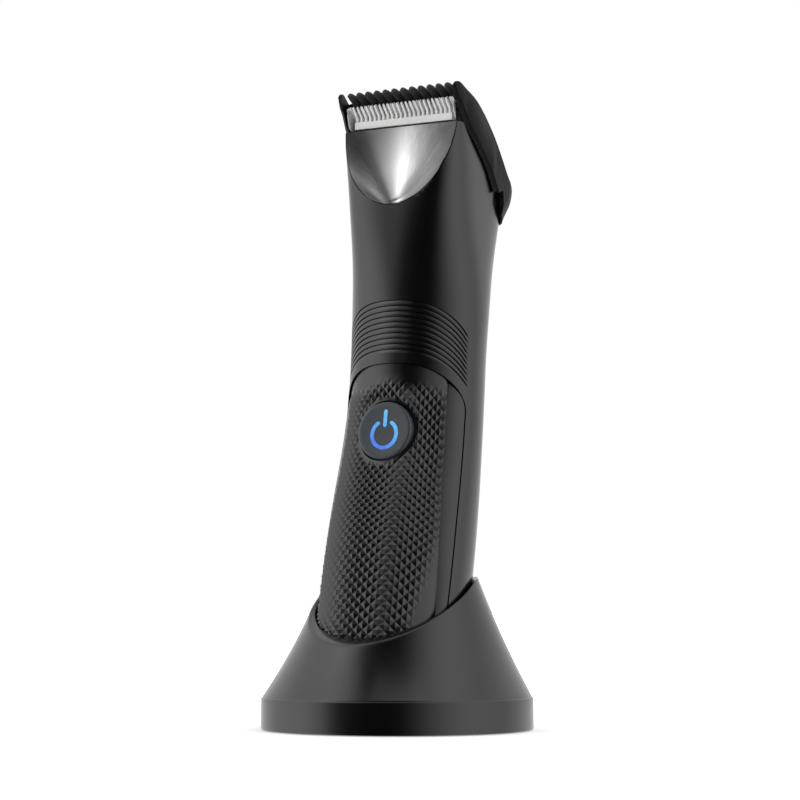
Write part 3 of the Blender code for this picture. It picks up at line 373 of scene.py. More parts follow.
def place_piece(obj, body, slot, *nodes):
    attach(obj, body)
    if nodes:
        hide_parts(*nodes)
    return obj


# ---- materials -------------------------------------------------------------------------------
class Nodes:
    """Small helper that adds and links shader nodes by name."""

    def __init__(self, name):
        self.mat = bpy.data.materials.new(name)
        self.mat.use_nodes = True
        self.tree = self.mat.node_tree
        self.shader = self.tree.nodes["Principled BSDF"]

    def add(self, kind, **values):
        node = self.tree.nodes.new(kind)
        for key, value in values.items():
            if key in node.inputs:
                node.inputs[key].default_value = value
            else:
                setattr(node, key, value)
        return node

    def link(self, source, target):
        self.tree.links.new(source, target)

    def position(self):
        return self.add("ShaderNodeNewGeometry").outputs["Position"]

    def noise(self, scale, detail=4.0, roughness=0.55, stretch=None):
        """Noise over the object's own space; stretch squeezes it along an axis."""
        texture = self.add("ShaderNodeTexNoise", Scale=scale, Detail=detail, Roughness=roughness)
        coords = self.add("ShaderNodeTexCoord").outputs["Object"]
        if stretch:
            mapping = self.add("ShaderNodeMapping")
            mapping.inputs["Scale"].default_value = stretch
            self.link(coords, mapping.inputs["Vector"])
            coords = mapping.outputs["Vector"]
        self.link(coords, texture.inputs["Vector"])
        return texture.outputs["Fac"]

    def map_range(self, source, low, high, to_low, to_high):
        node = self.add("ShaderNodeMapRange")
        for name, value in (("From Min", low), ("From Max", high), ("To Min", to_low), ("To Max", to_high)):
            node.inputs[name].default_value = value
        self.link(source, node.inputs["Value"])
        return node.outputs["Result"]

    def mix(self, factor, a, b):
        node = self.add("ShaderNodeMix", data_type="RGBA")
        if isinstance(factor, float):
            node.inputs["Factor"].default_value = factor
        else:
            self.link(factor, node.inputs["Factor"])
        for socket, value in ((node.inputs["A"], a), (node.inputs["B"], b)):
            if isinstance(value, tuple):
                socket.default_value = (*value, 1.0)
            else:
                self.link(value, socket)
        return node.outputs["Result"]

    def math(self, operation, first, second):
        node = self.add("ShaderNodeMath", operation=operation)
        for socket, value in zip(node.inputs, (first, second)):
            if isinstance(value, float):
                socket.default_value = value
            else:
                self.link(value, socket)
        return node.outputs[0]

    def leaning(self, amount):
        """The surface normal, turned further to the side with distance from the middle."""
        geometry = self.add("ShaderNodeNewGeometry")
        local = self.add("ShaderNodeSeparateXYZ")
        self.link(self.add("ShaderNodeTexCoord").outputs["Object"], local.inputs["Vector"])
        turn = self.add("ShaderNodeCombineXYZ")
        self.link(self.map_range(local.outputs["X"], 1.0 * MM, 11.0 * MM, 0.0, amount), turn.inputs["X"])
        total = self.add("ShaderNodeVectorMath", operation="ADD")
        self.link(geometry.outputs["Normal"], total.inputs[0])
        self.link(turn.outputs["Vector"], total.inputs[1])
        unit = self.add("ShaderNodeVectorMath", operation="NORMALIZE")
        self.link(total.outputs["Vector"], unit.inputs[0])
        return unit.outputs["Vector"]

    def within_ribs(self):
        """One between the comb's arms and in front of its sheet, else zero."""
        local = self.add("ShaderNodeSeparateXYZ")
        self.link(self.add("ShaderNodeTexCoord").outputs["Object"], local.inputs["Vector"])
        across = self.math("LESS_THAN", self.math("ABSOLUTE", local.outputs["X"], 0.0), 17.7 * MM)
        front = self.math("LESS_THAN", local.outputs["Y"], SHEET_START * MM)
        return self.math("MULTIPLY", across, front)

    def ramp(self, factor, rows):
        """Grey values along a half turn; each row is an angle in degrees and a value."""
        node = self.add("ShaderNodeValToRGB")
        elements = node.color_ramp.elements
        span = rows[-1][0] - rows[0][0]
        for i, (angle, value) in enumerate(rows):
            place = (angle - rows[0][0]) / span
            element = elements[i] if i < 1 else elements.new(place) if i < len(rows) - 1 else elements[-1]
            element.position = place
            element.color = (value, value, value, 1.0)
        self.link(factor, node.inputs["Fac"])
        return node.outputs["Color"]

    def bump(self, source, strength, distance, normal=None):
        node = self.add("ShaderNodeBump", Strength=strength, Distance=distance)
        self.link(source, node.inputs["Height"])
        if normal is not None:
            self.link(normal, node.inputs["Normal"])
        return node.outputs["Normal"]

    def edge_wear_and_highlight(self, low=0.52, high=0.62):
        """Bright along convex edges, broken up by noise: partly edge wear, partly a painted edge highlight.
        """
        edge = self.map_range(self.add("ShaderNodeNewGeometry").outputs["Pointiness"], low, high, 0.0, 1.0)
        broken = self.map_range(self.noise(900.0, 3.0), 0.4, 0.65, 0.0, 1.0)
        node = self.add("ShaderNodeMath", operation="MULTIPLY")
        self.link(edge, node.inputs[0])
        self.link(broken, node.inputs[1])
        return node.outputs[0]


def moulded(name, colour, roughness, grain, grain_scale=3500.0, specular=0.5, cloud=0.03, wear_and_highlight_gain=1.6, lean=0.0,
            ribs=None):
    """Moulded plastic: fine spark grain, cloudy gloss, faint colour drift and lighter convex edges, partly
    polished wear and partly a painted edge highlight.

    Lean rounds the right half's sheen, as on a pad that crowns more than its outline does.
    Ribs is a lighter grey painted on the comb's ribs as painted light, since they catch more light than the
    arms.
    """
    n = Nodes(name)
    drift = n.map_range(n.noise(45.0, 3.0), 0.3, 0.7, 0.0, 1.0)
    light = tuple(min(c * 1.08, 1.0) for c in colour)
    dark = tuple(c * 0.92 for c in colour)
    # lighter colour on convex edges: partly wear, partly painted highlight
    wear_and_highlight_colour = tuple(min(c * wear_and_highlight_gain + 0.002, 1.0) for c in colour)
    base = n.mix(n.edge_wear_and_highlight(), n.mix(drift, dark, light), wear_and_highlight_colour)
    # painted light: the comb's ribs are coloured lighter than the rest of the comb
    if ribs:
        base = n.mix(n.within_ribs(), base, ribs)
    n.link(base, n.shader.inputs["Base Color"])
    gloss = n.map_range(n.noise(110.0, 4.0), 0.25, 0.75, roughness - cloud, roughness + cloud)
    n.link(gloss, n.shader.inputs["Roughness"])
    n.shader.inputs["Specular IOR Level"].default_value = specular
    n.link(n.bump(n.noise(grain_scale, 3.0), grain, 0.00002, n.leaning(lean) if lean else None),
           n.shader.inputs["Normal"])
    return n.mat


def brushed_fan_painted_highlight(name):
    """Metal brushed in rays from the foot of the bib, with a painted highlight: its colour is a fan of
    lighter and darker sectors round a point below the bib, brightest straight up and darker away from that
    point.
    """
    n = Nodes(name)
    shader = n.shader
    shader.inputs["Metallic"].default_value = 1.0
    local = n.add("ShaderNodeVectorMath", operation="SUBTRACT")
    local.inputs[1].default_value = BIB @ Vector(FAN_HUB)
    n.link(n.add("ShaderNodeTexCoord").outputs["Object"], local.inputs[0])
    axes = []
    for axis in (BIB.col[0].to_3d(), BIB.col[1].to_3d()):
        dot = n.add("ShaderNodeVectorMath", operation="DOT_PRODUCT")
        dot.inputs[1].default_value = axis
        n.link(local.outputs["Vector"], dot.inputs[0])
        axes.append(dot.outputs["Value"])
    angle = n.math("ARCTAN2", axes[0], axes[1])
    length = n.add("ShaderNodeVectorMath", operation="LENGTH")
    n.link(local.outputs["Vector"], length.inputs[0])
    ray = n.add("ShaderNodeCombineXYZ")
    n.link(angle, ray.inputs["X"])
    n.link(n.math("MULTIPLY", length.outputs["Value"], 9.0), ray.inputs["Y"])
    lines = n.add("ShaderNodeTexNoise", Scale=26.0, Detail=5.0, Roughness=0.6)
    n.link(ray.outputs["Vector"], lines.inputs["Vector"])
    wobble = n.map_range(lines.outputs["Fac"], 0.3, 0.7, -0.02, 0.02)
    # painted highlight: the base colour follows the fan's angle and dims with distance from its hub
    ramp = n.ramp(n.map_range(n.math("ADD", angle, wobble), -math.pi / 2, math.pi / 2, 0.0, 1.0), FAN_PAINTED_HIGHLIGHT)
    painted_fade = n.map_range(length.outputs["Value"], 14 * MM, 27 * MM, 1.0, 0.42)
    n.link(n.mix(painted_fade, (0.0, 0.0, 0.0), ramp), shader.inputs["Base Color"])
    n.link(n.map_range(lines.outputs["Fac"], 0.3, 0.7, 0.24, 0.36), shader.inputs["Roughness"])
    n.link(n.bump(lines.outputs["Fac"], 0.03, 0.00002), shader.inputs["Normal"])
    return n.mat


# angle from straight up (degrees) and brightness of the painted highlight and shade in the fan's colour
FAN_PAINTED_HIGHLIGHT = ((-90, 0.14), (-66, 0.13), (-56, 0.07), (-49, 0.17), (-42, 0.09), (-35, 0.05), (-29, 0.08),
             (-23, 0.20), (-15, 0.33), (-9, 0.50), (-4, 0.70), (0, 0.78), (4, 0.72), (9, 0.54), (15, 0.38),
             (22, 0.25), (31, 0.17), (45, 0.13), (90, 0.12))
FAN_HUB = (2.0 * MM, -3.0 * MM, 0.0)
GRIP_LEAN = 0.24
MATTE = (0.0065, 0.0065, 0.0066)
# painted light: a lighter grey for the comb's ribs, which catch more light than its arms
RIB_PAINTED_GREY = (0.050, 0.050, 0.051)


def metal(name, colour, roughness, brush=(1.0, 1.0, 1.0), brush_scale=2500.0, scratch=0.15, metallic=1.0):
    """Metal with a fine lay along one direction, cloudy gloss and faint scratches."""
    n = Nodes(name)
    n.shader.inputs["Metallic"].default_value = metallic
    lay = n.noise(brush_scale, 4.0, 0.6, brush)
    darker = tuple(c * 0.82 for c in colour)
    n.link(n.mix(n.map_range(lay, 0.3, 0.7, 0.0, 1.0), darker, colour), n.shader.inputs["Base Color"])
    n.link(n.map_range(n.noise(300.0, 5.0), 0.3, 0.7, roughness * 0.75, roughness * 1.3),
           n.shader.inputs["Roughness"])
    n.link(n.bump(lay, scratch, 0.00002), n.shader.inputs["Normal"])
    return n.mat


def glowing(name):
    """Light pipe: deep blue at the foot turning to sky blue at the top, softly uneven."""
    n = Nodes(name)
    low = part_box("power_icon_ring")[0].z
    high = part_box("power_icon_bar")[1].z
    separate = n.add("ShaderNodeSeparateXYZ")
    n.link(n.position(), separate.inputs["Vector"])
    climb = n.map_range(separate.outputs["Z"], low, high, 0.0, 1.0)
    across = n.map_range(separate.outputs["X"], -4.0 * MM, 4.0 * MM, -0.25, 0.25)
    lean = n.add("ShaderNodeMath", operation="ADD", use_clamp=True)
    n.link(climb, lean.inputs[0])
    n.link(across, lean.inputs[1])
    ramp = n.add("ShaderNodeValToRGB")
    ramp.color_ramp.elements[0].color = (0.035, 0.16, 0.72, 1.0)
    ramp.color_ramp.elements[1].position = 0.9
    ramp.color_ramp.elements[1].color = (0.10, 0.50, 0.90, 1.0)
    n.link(lean.outputs[0], ramp.inputs["Fac"])
    cloud = n.map_range(n.noise(700.0, 3.0), 0.3, 0.7, 0.75, 1.15)
    n.link(ramp.outputs["Color"], n.shader.inputs["Emission Color"])
    n.link(cloud, n.shader.inputs["Emission Strength"])
    n.shader.inputs["Base Color"].default_value = (0.01, 0.03, 0.10, 1.0)
    n.shader.inputs["Roughness"].default_value = 0.35
    return n.mat


def board(name):
    """Printed board: solder mask with faint copper traces under it."""
    n = Nodes(name)
    wave = n.add("ShaderNodeTexBrick", Scale=500.0)
    wave.inputs["Mortar Size"].default_value = 0.12
    wave.inputs["Color1"].default_value = (0.01, 0.12, 0.05, 1.0)
    wave.inputs["Color2"].default_value = (0.012, 0.15, 0.06, 1.0)
    wave.inputs["Mortar"].default_value = (0.03, 0.26, 0.12, 1.0)
    n.link(n.add("ShaderNodeTexCoord").outputs["Object"], wave.inputs["Vector"])
    n.link(wave.outputs["Color"], n.shader.inputs["Base Color"])
    n.link(n.map_range(n.noise(400.0), 0.3, 0.7, 0.3, 0.45), n.shader.inputs["Roughness"])
    n.link(n.bump(wave.outputs["Fac"], 0.2, 0.00005), n.shader.inputs["Normal"])
    return n.mat


def make_materials():
    return {
        "satin_black": moulded("satin_black", (0.0024, 0.0024, 0.0025), 0.20, 0.05),
        "matte_black": moulded("matte_black", MATTE, 0.40, 0.15, 2200.0, 0.06, wear_and_highlight_gain=5.0),
        "comb_black": moulded("comb_black", MATTE, 0.40, 0.15, 2200.0, 0.06, wear_and_highlight_gain=5.0, ribs=RIB_PAINTED_GREY),
        "grip_black": moulded("grip_black", (0.0026, 0.0026, 0.0027), 0.24, 0.08, 2600.0, wear_and_highlight_gain=2.2,
                              lean=GRIP_LEAN),
        "button_black": moulded("button_black", (0.028, 0.034, 0.040), 0.42, 0.12, 3000.0, 0.45),
        "icon_blue": glowing("icon_blue"),
        "chrome": brushed_fan_painted_highlight("chrome"),
        "blade_steel": metal("blade_steel", (0.70, 0.70, 0.71), 0.30, (1.0, 0.06, 0.06), metallic=0.3),
        "ceramic_white": moulded("ceramic_white", (0.86, 0.86, 0.85), 0.30, 0.15, 2600.0, 0.5, 0.05, 1.1),
        "gold_contact": metal("gold_contact", (0.83, 0.62, 0.28), 0.26),
        "screw_steel": metal("screw_steel", (0.52, 0.53, 0.55), 0.32),
        "seal_rubber": moulded("seal_rubber", (0.012, 0.012, 0.012), 0.72, 0.5, 1600.0, 0.3),
        "board_green": board("board_green"),
        "inner_plastic": moulded("inner_plastic", (0.07, 0.07, 0.075), 0.50, 0.25),
        "cell_sleeve": moulded("cell_sleeve", (0.03, 0.17, 0.42), 0.34, 0.08),
        "drive_plastic": moulded("drive_plastic", (0.62, 0.62, 0.60), 0.42, 0.15, 2600.0, 0.5, 0.05, 1.1),
        "lead_red": moulded("lead_red", (0.42, 0.02, 0.02), 0.45, 0.10),
    }


# ---- housing ---------------------------------------------------------------------------------
# distance below a groove's line (mm) and share of its depth: a steep upper flank, a long lower one
GROOVE_PROFILE = ((-0.20, 0.0), (-0.10, 0.0), (0.0, 1.0), (0.28, 0.70), (0.62, 0.20), (0.95, 0.0),
                  (1.08, 0.0))


def arch_drop(x):
    """How far an arch line has dropped at a distance from the middle."""
    share = min(abs(x) / GROOVE_HALF_SPAN, 0.984)
    return GROOVE_ARCH * (1.0 - (1.0 - share ** 2.5) ** 0.4)


def housing_rows():
    """Middle height, how closely the row follows the arches, and groove depth, from the bottom up."""
    low = GROOVE_TOP - GROOVE_PITCH * (GROOVE_COUNT - 1) - 2 * MM
    high = GROOVE_TOP + 1.2 * MM
    rows = [(z, (z - HOUSING_BOTTOM) / (low - HOUSING_BOTTOM), 0.0) for z in spread(HOUSING_BOTTOM, low, 52)]
    for i in reversed(range(GROOVE_COUNT)):
        top = GROOVE_TOP - GROOVE_PITCH * i
        for below, share in reversed(GROOVE_PROFILE):
            rows.append((top - below * MM, 1.0, share))
    top = 181 * MM
    for z in spread(high, top, 48):
        rows.append((z, (top - z) / (top - high), 0.0))
    return rows


def housing_turns():
    """Angles round the body, close together over the front."""
    step = 1.2
    front = spread(0.0, math.radians(84), int(84 / step) + 1)
    rest = spread(math.radians(86.5), math.radians(177), 32)
    right = front[1:] + rest
    return [0.0] + right + [math.pi] + [-a for a in reversed(right)]


def build_housing(m):
    turns = housing_turns()
    rings = []
    for middle, follow_arch, depth in housing_rows():
        ring = []
        for turn in turns:
            front = math.cos(turn) > 0
            across = section(middle)[0] * math.sin(turn) if front else GROOVE_HALF_SPAN
            z = middle - follow_arch * arch_drop(across)
            shape = section(z)
            fade = 1.0 - smooth(18.3 * MM, 18.95 * MM, abs(across))
            ring.append(skin_point(turn, z, -GROOVE_DEPTH * depth * fade, shape))
        rings.append(ring)
    body = loft("housing_skin", rings, m["satin_black"])
    cavity = skin_loft("cavity", spread(HOUSING_BOTTOM - 3 * MM, 181 * MM, 34), -WALL, 64)
    front = [(bib_line(118 * MM, BIB_WALL), 118 * MM), (bib_line(185 * MM, BIB_WALL), 185 * MM),
             (-60 * MM, 185 * MM), (-60 * MM, 118 * MM)]
    boolean(cavity, side_prism("cavity_front", front), "DIFFERENCE")
    boolean(cavity, side_prism("head_shape", head_cut_outline()), "UNION")
    boolean(body, cavity, "DIFFERENCE")
    pocket = panel_region("pocket", 0.0)
    floor = skin_loft("pocket_floor", spread(0.0, 125 * MM, 80), -POCKET_DEPTH, 96)
    boolean(pocket, floor, "DIFFERENCE")
    boolean(body, pocket, "DIFFERENCE")
    bib_floor = -(BIB_THICKNESS + 0.3 * MM)
    boolean(body, prism("bib_pocket", bib_outline(0.1 * MM, 48), bib_floor, 6 * MM, None, BIB), "DIFFERENCE")
    cut_bore(body)
    reshade(body, 32)
    place_piece(body, "groomer", "satin_black", "housing")


def cut_bore(target):
    """The round opening that the button moves in."""
    bore = turned("bore", [(BUTTON_BORE, -8 * MM), (BUTTON_BORE, 6 * MM)], None, BUTTON)
    return boolean(target, bore, "DIFFERENCE")


def bib_outline(margin, count):
    points = []
    for i in range(count + 1):
        a = math.pi * i / count
        points.append((-(BIB_HALF_WIDTH - margin) * math.cos(a),
                       BIB_LENGTH - (BIB_LENGTH - margin) * math.sin(a)))
    half = BIB_HALF_WIDTH - margin
    top = BIB_LENGTH + 4 * MM
    return points + [(half, top), (-half, top)]


def bib_line(z, depth):
    return BIB_LOW[0] + BIB_SLOPE * (z - BIB_LOW[1]) + depth / math.cos(BIB_TILT)


def head_cut_outline():
    """Side view of everything above and in front of the head's surfaces."""
    low = 118 * MM
    top = HEAD_TOP
    down = (BLADE_TIP_Z + HEAD_SLOPE_CUT * math.cos(BLADE_ANGLE) - top) / math.sin(BLADE_ANGLE)
    shoulder = BLADE_TIP_Y + down * math.cos(BLADE_ANGLE) + HEAD_SLOPE_CUT * math.sin(BLADE_ANGLE)
    reach = 50 * MM
    drop = top - reach * math.tan(BLADE_ANGLE)
    return [(bib_line(low, 0.0), low), (bib_line(top, 0.0), top), (shoulder, top), (shoulder + reach, drop),
            (90 * MM, drop), (90 * MM, 200 * MM), (-60 * MM, 200 * MM), (-60 * MM, low)]


# ---- grip panel ------------------------------------------------------------------------------
PYRAMID_STEPS = 15
PYRAMID_HEIGHT = 0.50 * MM
PYRAMID_Z = 2.70 * MM
# height and half width (mm) of the line where the convex grip rolls into the side channel
GRIP_EDGE = ((21.0, 18.9), (35.6, 18.7), (46.4, 18.3), (57.2, 17.8), (68.2, 16.95), (76.5, 16.5),
             (84.9, 16.0), (95.3, 16.05), (104.0, 16.1))
CHANNEL_DEPTH = 0.95 * MM


def pyramid(across, along):
    """Height share of the diamond pyramids; one step is half a diamond either way."""
    a = across - 2 * round(across / 2)
    b = along - 2 * round(along / 2)
    first = 1.0 - abs(a) - abs(b)
    a = abs(a) - 1.0
    b = abs(b) - 1.0
    second = 1.0 - abs(a) - abs(b)
    return max(first, second, 0.0)


def texture_share(x, z):
    """Where the pyramids stand at full height, fading out at the top, round the button and low right."""
    share = 1.0 - smooth(91.5 * MM, 98.0 * MM, z + 0.012 * x * x / MM)
    reach = math.hypot(x, (z - BUTTON_Z) * 1.01)
    share *= smooth(BUTTON_RADIUS + 0.6 * MM, BUTTON_RADIUS + 1.9 * MM, reach)
    edge = 19.5 * MM - 0.20 * max(52 * MM - z, 0.0)
    return share * (1.0 - smooth(edge - 3.0 * MM, edge + 1.0 * MM, x))


def panel_offset(share, x, z, across, along):
    """Height of the panel's face against the skin; share is 1 at the edge and 2 at the outline."""
    top_dip = 0.30 * MM * smooth(92 * MM, 99 * MM, z)
    if share <= 1.0:
        roll = max(0.0, (share - 0.88) / 0.12)
        fall = CHANNEL_DEPTH * (1.0 - math.sqrt(max(0.0, 1.0 - roll * roll)))
        edge_fade = 1.0 - smooth(0.94, 0.995, share)
        lift = PYRAMID_HEIGHT * pyramid(across, along) * texture_share(x, z) * edge_fade
        return lift - 0.25 * MM - fall - top_dip
    rest = max(2.0 - share, 0.0)
    return -0.12 * MM - (CHANNEL_DEPTH + 0.13 * MM + top_dip) * rest ** 1.5


def build_grip_panel(m):
    """A fine sheet with pyramids, a rolled edge and side channels, trimmed to the arched outline."""
    per_step = 2
    columns = PYRAMID_STEPS * per_step
    extra = [1.004, 1.03, 1.08, 1.2, 1.35, 1.5, 1.65, 1.8, 1.9, 2.05]
    shares = [i / columns for i in range(columns)] + [0.985, 0.998] + extra
    shares = [-s for s in reversed(shares[1:])] + shares
    row_step = PYRAMID_Z / 2 / per_step
    rows = int((PANEL_ARCH_TOP + 1 * MM - PANEL_BOTTOM) / row_step) + 1
    outline_turn = math.asin(PANEL_SHARE)
    bm = bmesh.new()
    top = []
    under = []
    lifts = []
    for r in range(rows + 1):
        z = PANEL_BOTTOM - 0.5 * MM + r * row_step
        shape = section(z)
        edge_turn = math.asin(min(follow(GRIP_EDGE, z)[0] * MM / shape[0], 0.999))
        top_row = []
        under_row = []
        lift_row = []
        for share in shares:
            size = abs(share)
            if size <= 1.0:
                turn = edge_turn * size
            else:
                turn = edge_turn + (outline_turn - edge_turn) * (size - 1.0)
            turn = math.copysign(turn, share)
            x = shape[0] * math.sin(turn)
            offset = panel_offset(size, x, z, share * PYRAMID_STEPS, r / per_step)
            lift_row.append(offset)
            top_row.append(bm.verts.new(skin_point(turn, z, offset, shape)))
            under_row.append(bm.verts.new(skin_point(turn, z, -1.42 * MM, shape)))
        lifts.append(lift_row)
        top.append(top_row)
        under.append(under_row)
    count = len(shares)
    for r in range(rows):
        for c in range(count - 1):
            a, b, d, e = top[r][c], top[r][c + 1], top[r + 1][c + 1], top[r + 1][c]
            rising = lifts[r][c] + lifts[r + 1][c + 1]
            if rising < lifts[r][c + 1] + lifts[r + 1][c]:
                bm.faces.new((a, b, d))
                bm.faces.new((a, d, e))
            else:
                bm.faces.new((a, b, e))
                bm.faces.new((b, d, e))
            bm.faces.new((under[r][c], under[r][c + 1], under[r + 1][c + 1], under[r + 1][c]))
        bm.faces.new((top[r][0], top[r + 1][0], under[r + 1][0], under[r][0]))
        bm.faces.new((top[r][-1], top[r + 1][-1], under[r + 1][-1], under[r][-1]))
    for row, low in ((0, under[0]), (rows, under[rows])):
        for c in range(count - 1):
            bm.faces.new((top[row][c], top[row][c + 1], low[c + 1], low[c]))
    panel = finish_mesh("grip_panel_skin", bm, m["grip_black"])
    boolean(panel, panel_region("panel_region", PANEL_SEAM), "INTERSECT")
    cut_bore(panel)
    reshade(panel, 13)
    place_piece(panel, "groomer", "grip_black", "grip_panel")


def panel_half(z, margin):
    """Half width of the panel's outline in front view at a height below its arch."""
    return PANEL_SHARE * section(z)[0] - margin


def panel_region(name, margin):
    """The column in front of the body's centre line and inside the panel's outline."""
    top = PANEL_ARCH_TOP - margin
    bottom = PANEL_BOTTOM - (PANEL_SEAM - margin)
    side = [(panel_half(z, margin), z) for z in spread(bottom, PANEL_ARCH_START, 30)]
    rise = top - PANEL_ARCH_START
    for i in range(1, 40):
        a = math.pi / 2 * i / 40
        z = PANEL_ARCH_START + rise * math.sin(a) ** 0.8
        side.append((side[29][0] * math.cos(a) ** 0.8, z))
    side.append((0.0, top))
    outline = side + [(-x, z) for x, z in reversed(side[:-1])]
    front = [Vector((x, -45 * MM, z)) for x, z in outline]
    back = [Vector((x, centre_y(z), z)) for x, z in outline]
    return loft(name, [front, back])


# ---- button ----------------------------------------------------------------------------------
def build_button(m):
    side_top = BUTTON_FACE - 0.75 * MM
    profile = [(4.5 * MM, -4.6 * MM), (4.5 * MM, -3.4 * MM), (BUTTON_RADIUS, -3.4 * MM),
               (BUTTON_RADIUS, side_top)]
    for i in range(1, 7):
        a = math.pi / 2 * i / 6
        inward = BUTTON_ROUND * (1 - math.cos(a))
        profile.append((BUTTON_RADIUS - inward, side_top + BUTTON_ROUND * math.sin(a)))
    for share in (0.8, 0.6, 0.4, 0.2, 0.05):
        profile.append((BUTTON_RADIUS * share, BUTTON_FACE - 0.05 * MM - 0.22 * MM * (1 - share ** 2)))
    button = turned("power_button_cap", profile, m["button_black"], BUTTON, 128)
    for tool in (icon_ring("ring_groove", 0.10 * MM, 0.35), icon_bar("bar_groove", 0.10 * MM, 0.35)):
        boolean(button, tool, "DIFFERENCE")
    reshade(button, 30)
    place_piece(button, "button", "button_black", "power_button")
    ring = icon_ring("power_ring_light", 0.0, 0.04)
    ring.data.materials.append(m["icon_blue"])
    place_piece(ring, "button", "icon_blue", "power_icon_ring")
    bar = icon_bar("power_bar_light", 0.0, 0.04)
    bar.data.materials.append(m["icon_blue"])
    place_piece(bar, "button", "icon_blue", "power_icon_bar")


def stroke(name, path, extra, proud):
    """A flat stroke with round ends along a path in the button's plane."""
    half = ICON_STROKE / 2 + extra
    left = []
    right = []
    for i, p in enumerate(path):
        ahead = path[min(i + 1, len(path) - 1)]
        behind = path[max(i - 1, 0)]
        along = Vector((ahead[0] - behind[0], ahead[1] - behind[1])).normalized()
        side = Vector((-along.y, along.x)) * half
        left.append((p[0] + side.x, p[1] + side.y))
        right.append((p[0] - side.x, p[1] - side.y))
    outline = left + cap_arc(path[-1], path[-2], half) + right[::-1] + cap_arc(path[0], path[1], half)
    top = BUTTON_FACE - 0.17 * MM + proud * MM
    return prism(name, outline, BUTTON_FACE - 0.95 * MM, top, None, BUTTON)


def cap_arc(end, inner, half):
    """Points of a half circle past the end of a stroke, from its left side to its right."""
    out = math.atan2(end[1] - inner[1], end[0] - inner[0])
    return [(end[0] + half * math.cos(out + math.pi / 2 - math.pi * i / 8),
             end[1] + half * math.sin(out + math.pi / 2 - math.pi * i / 8)) for i in range(1, 8)]


def icon_ring(name, extra, proud):
    start = math.pi / 2 + ICON_OPENING
    sweep = 2 * (math.pi - ICON_OPENING)
    path = [(ICON_RING_RADIUS * math.cos(start + sweep * i / 72),
             ICON_RING_RADIUS * math.sin(start + sweep * i / 72) - ICON_RING_DROP) for i in range(73)]
    return stroke(name, path, extra, proud)


def icon_bar(name, extra, proud):
    half = ICON_STROKE / 2
    path = [(0.0, y) for y in spread(ICON_BAR_START + half, ICON_BAR_END - half, 6)]
    return stroke(name, path, extra, proud)


# ---- chrome bib ------------------------------------------------------------------------------
def build_bib(m):
    """A shallow fan-shaped dish: it deepens away from its lowest point, so reflections fan out."""
    outline = bib_outline(BIB_SEAM, 64)[:65]
    low = Vector((0.0, BIB_SEAM + 1.2 * MM))
    limit = (HEAD_TOP - BIB_LOW[1]) / math.cos(BIB_TILT)
    edge = [Vector((x, min(y, limit))) for x, y in outline]
    bm = bmesh.new()
    steps = 26
    hub = bm.verts.new(Vector((low.x, low.y, bib_height(low, 0.0))))
    lines = []
    for point in edge:
        line = []
        for i in range(1, steps + 1):
            t = i / steps
            flat = low.lerp(point, t)
            line.append(bm.verts.new((flat.x, flat.y, bib_height(flat, t))))
        lines.append(line)
    for a, b in zip(lines, lines[1:]):
        bm.faces.new((hub, a[0], b[0]))
        for i in range(steps - 1):
            bm.faces.new((a[i], a[i + 1], b[i + 1], b[i]))
    first, last = lines[0], lines[-1]
    top_steps = 40
    across = [[first[i]] for i in range(steps)]
    for i in range(steps):
        left = first[i].co.xy
        right = last[i].co.xy
        for k in range(1, top_steps):
            flat = left.lerp(right, k / top_steps)
            across[i].append(bm.verts.new((flat.x, flat.y, bib_height(flat, (i + 1) / steps))))
        across[i].append(last[i])
    for k in range(top_steps):
        bm.faces.new((hub, across[0][k], across[0][k + 1]))
        for i in range(steps - 1):
            bm.faces.new((across[i][k], across[i][k + 1], across[i + 1][k + 1], across[i + 1][k]))
    rim = [line[-1] for line in lines] + list(reversed(across[-1][1:-1]))
    floor = [bm.verts.new((v.co.x, v.co.y, -BIB_THICKNESS)) for v in rim]
    for i in range(len(rim)):
        j = (i + 1) % len(rim)
        bm.faces.new((rim[i], rim[j], floor[j], floor[i]))
    bm.faces.new(floor)
    bib = finish_mesh("chrome_bib_face", bm, m["chrome"], BIB, 40)
    boolean(bib, skin_loft("bib_skin", spread(130 * MM, 176 * MM, 24), -0.05 * MM, 96), "INTERSECT")
    reshade(bib, 40)
    place_piece(bib, "groomer", "chrome", "chrome_bib")


def bib_height(flat, t):
    """Depth of the dish: flat at the outline and at the hub, hollow between."""
    return -BIB_DISH * math.sin(math.pi * min(t, 1.0)) ** 2 - 0.02 * MM


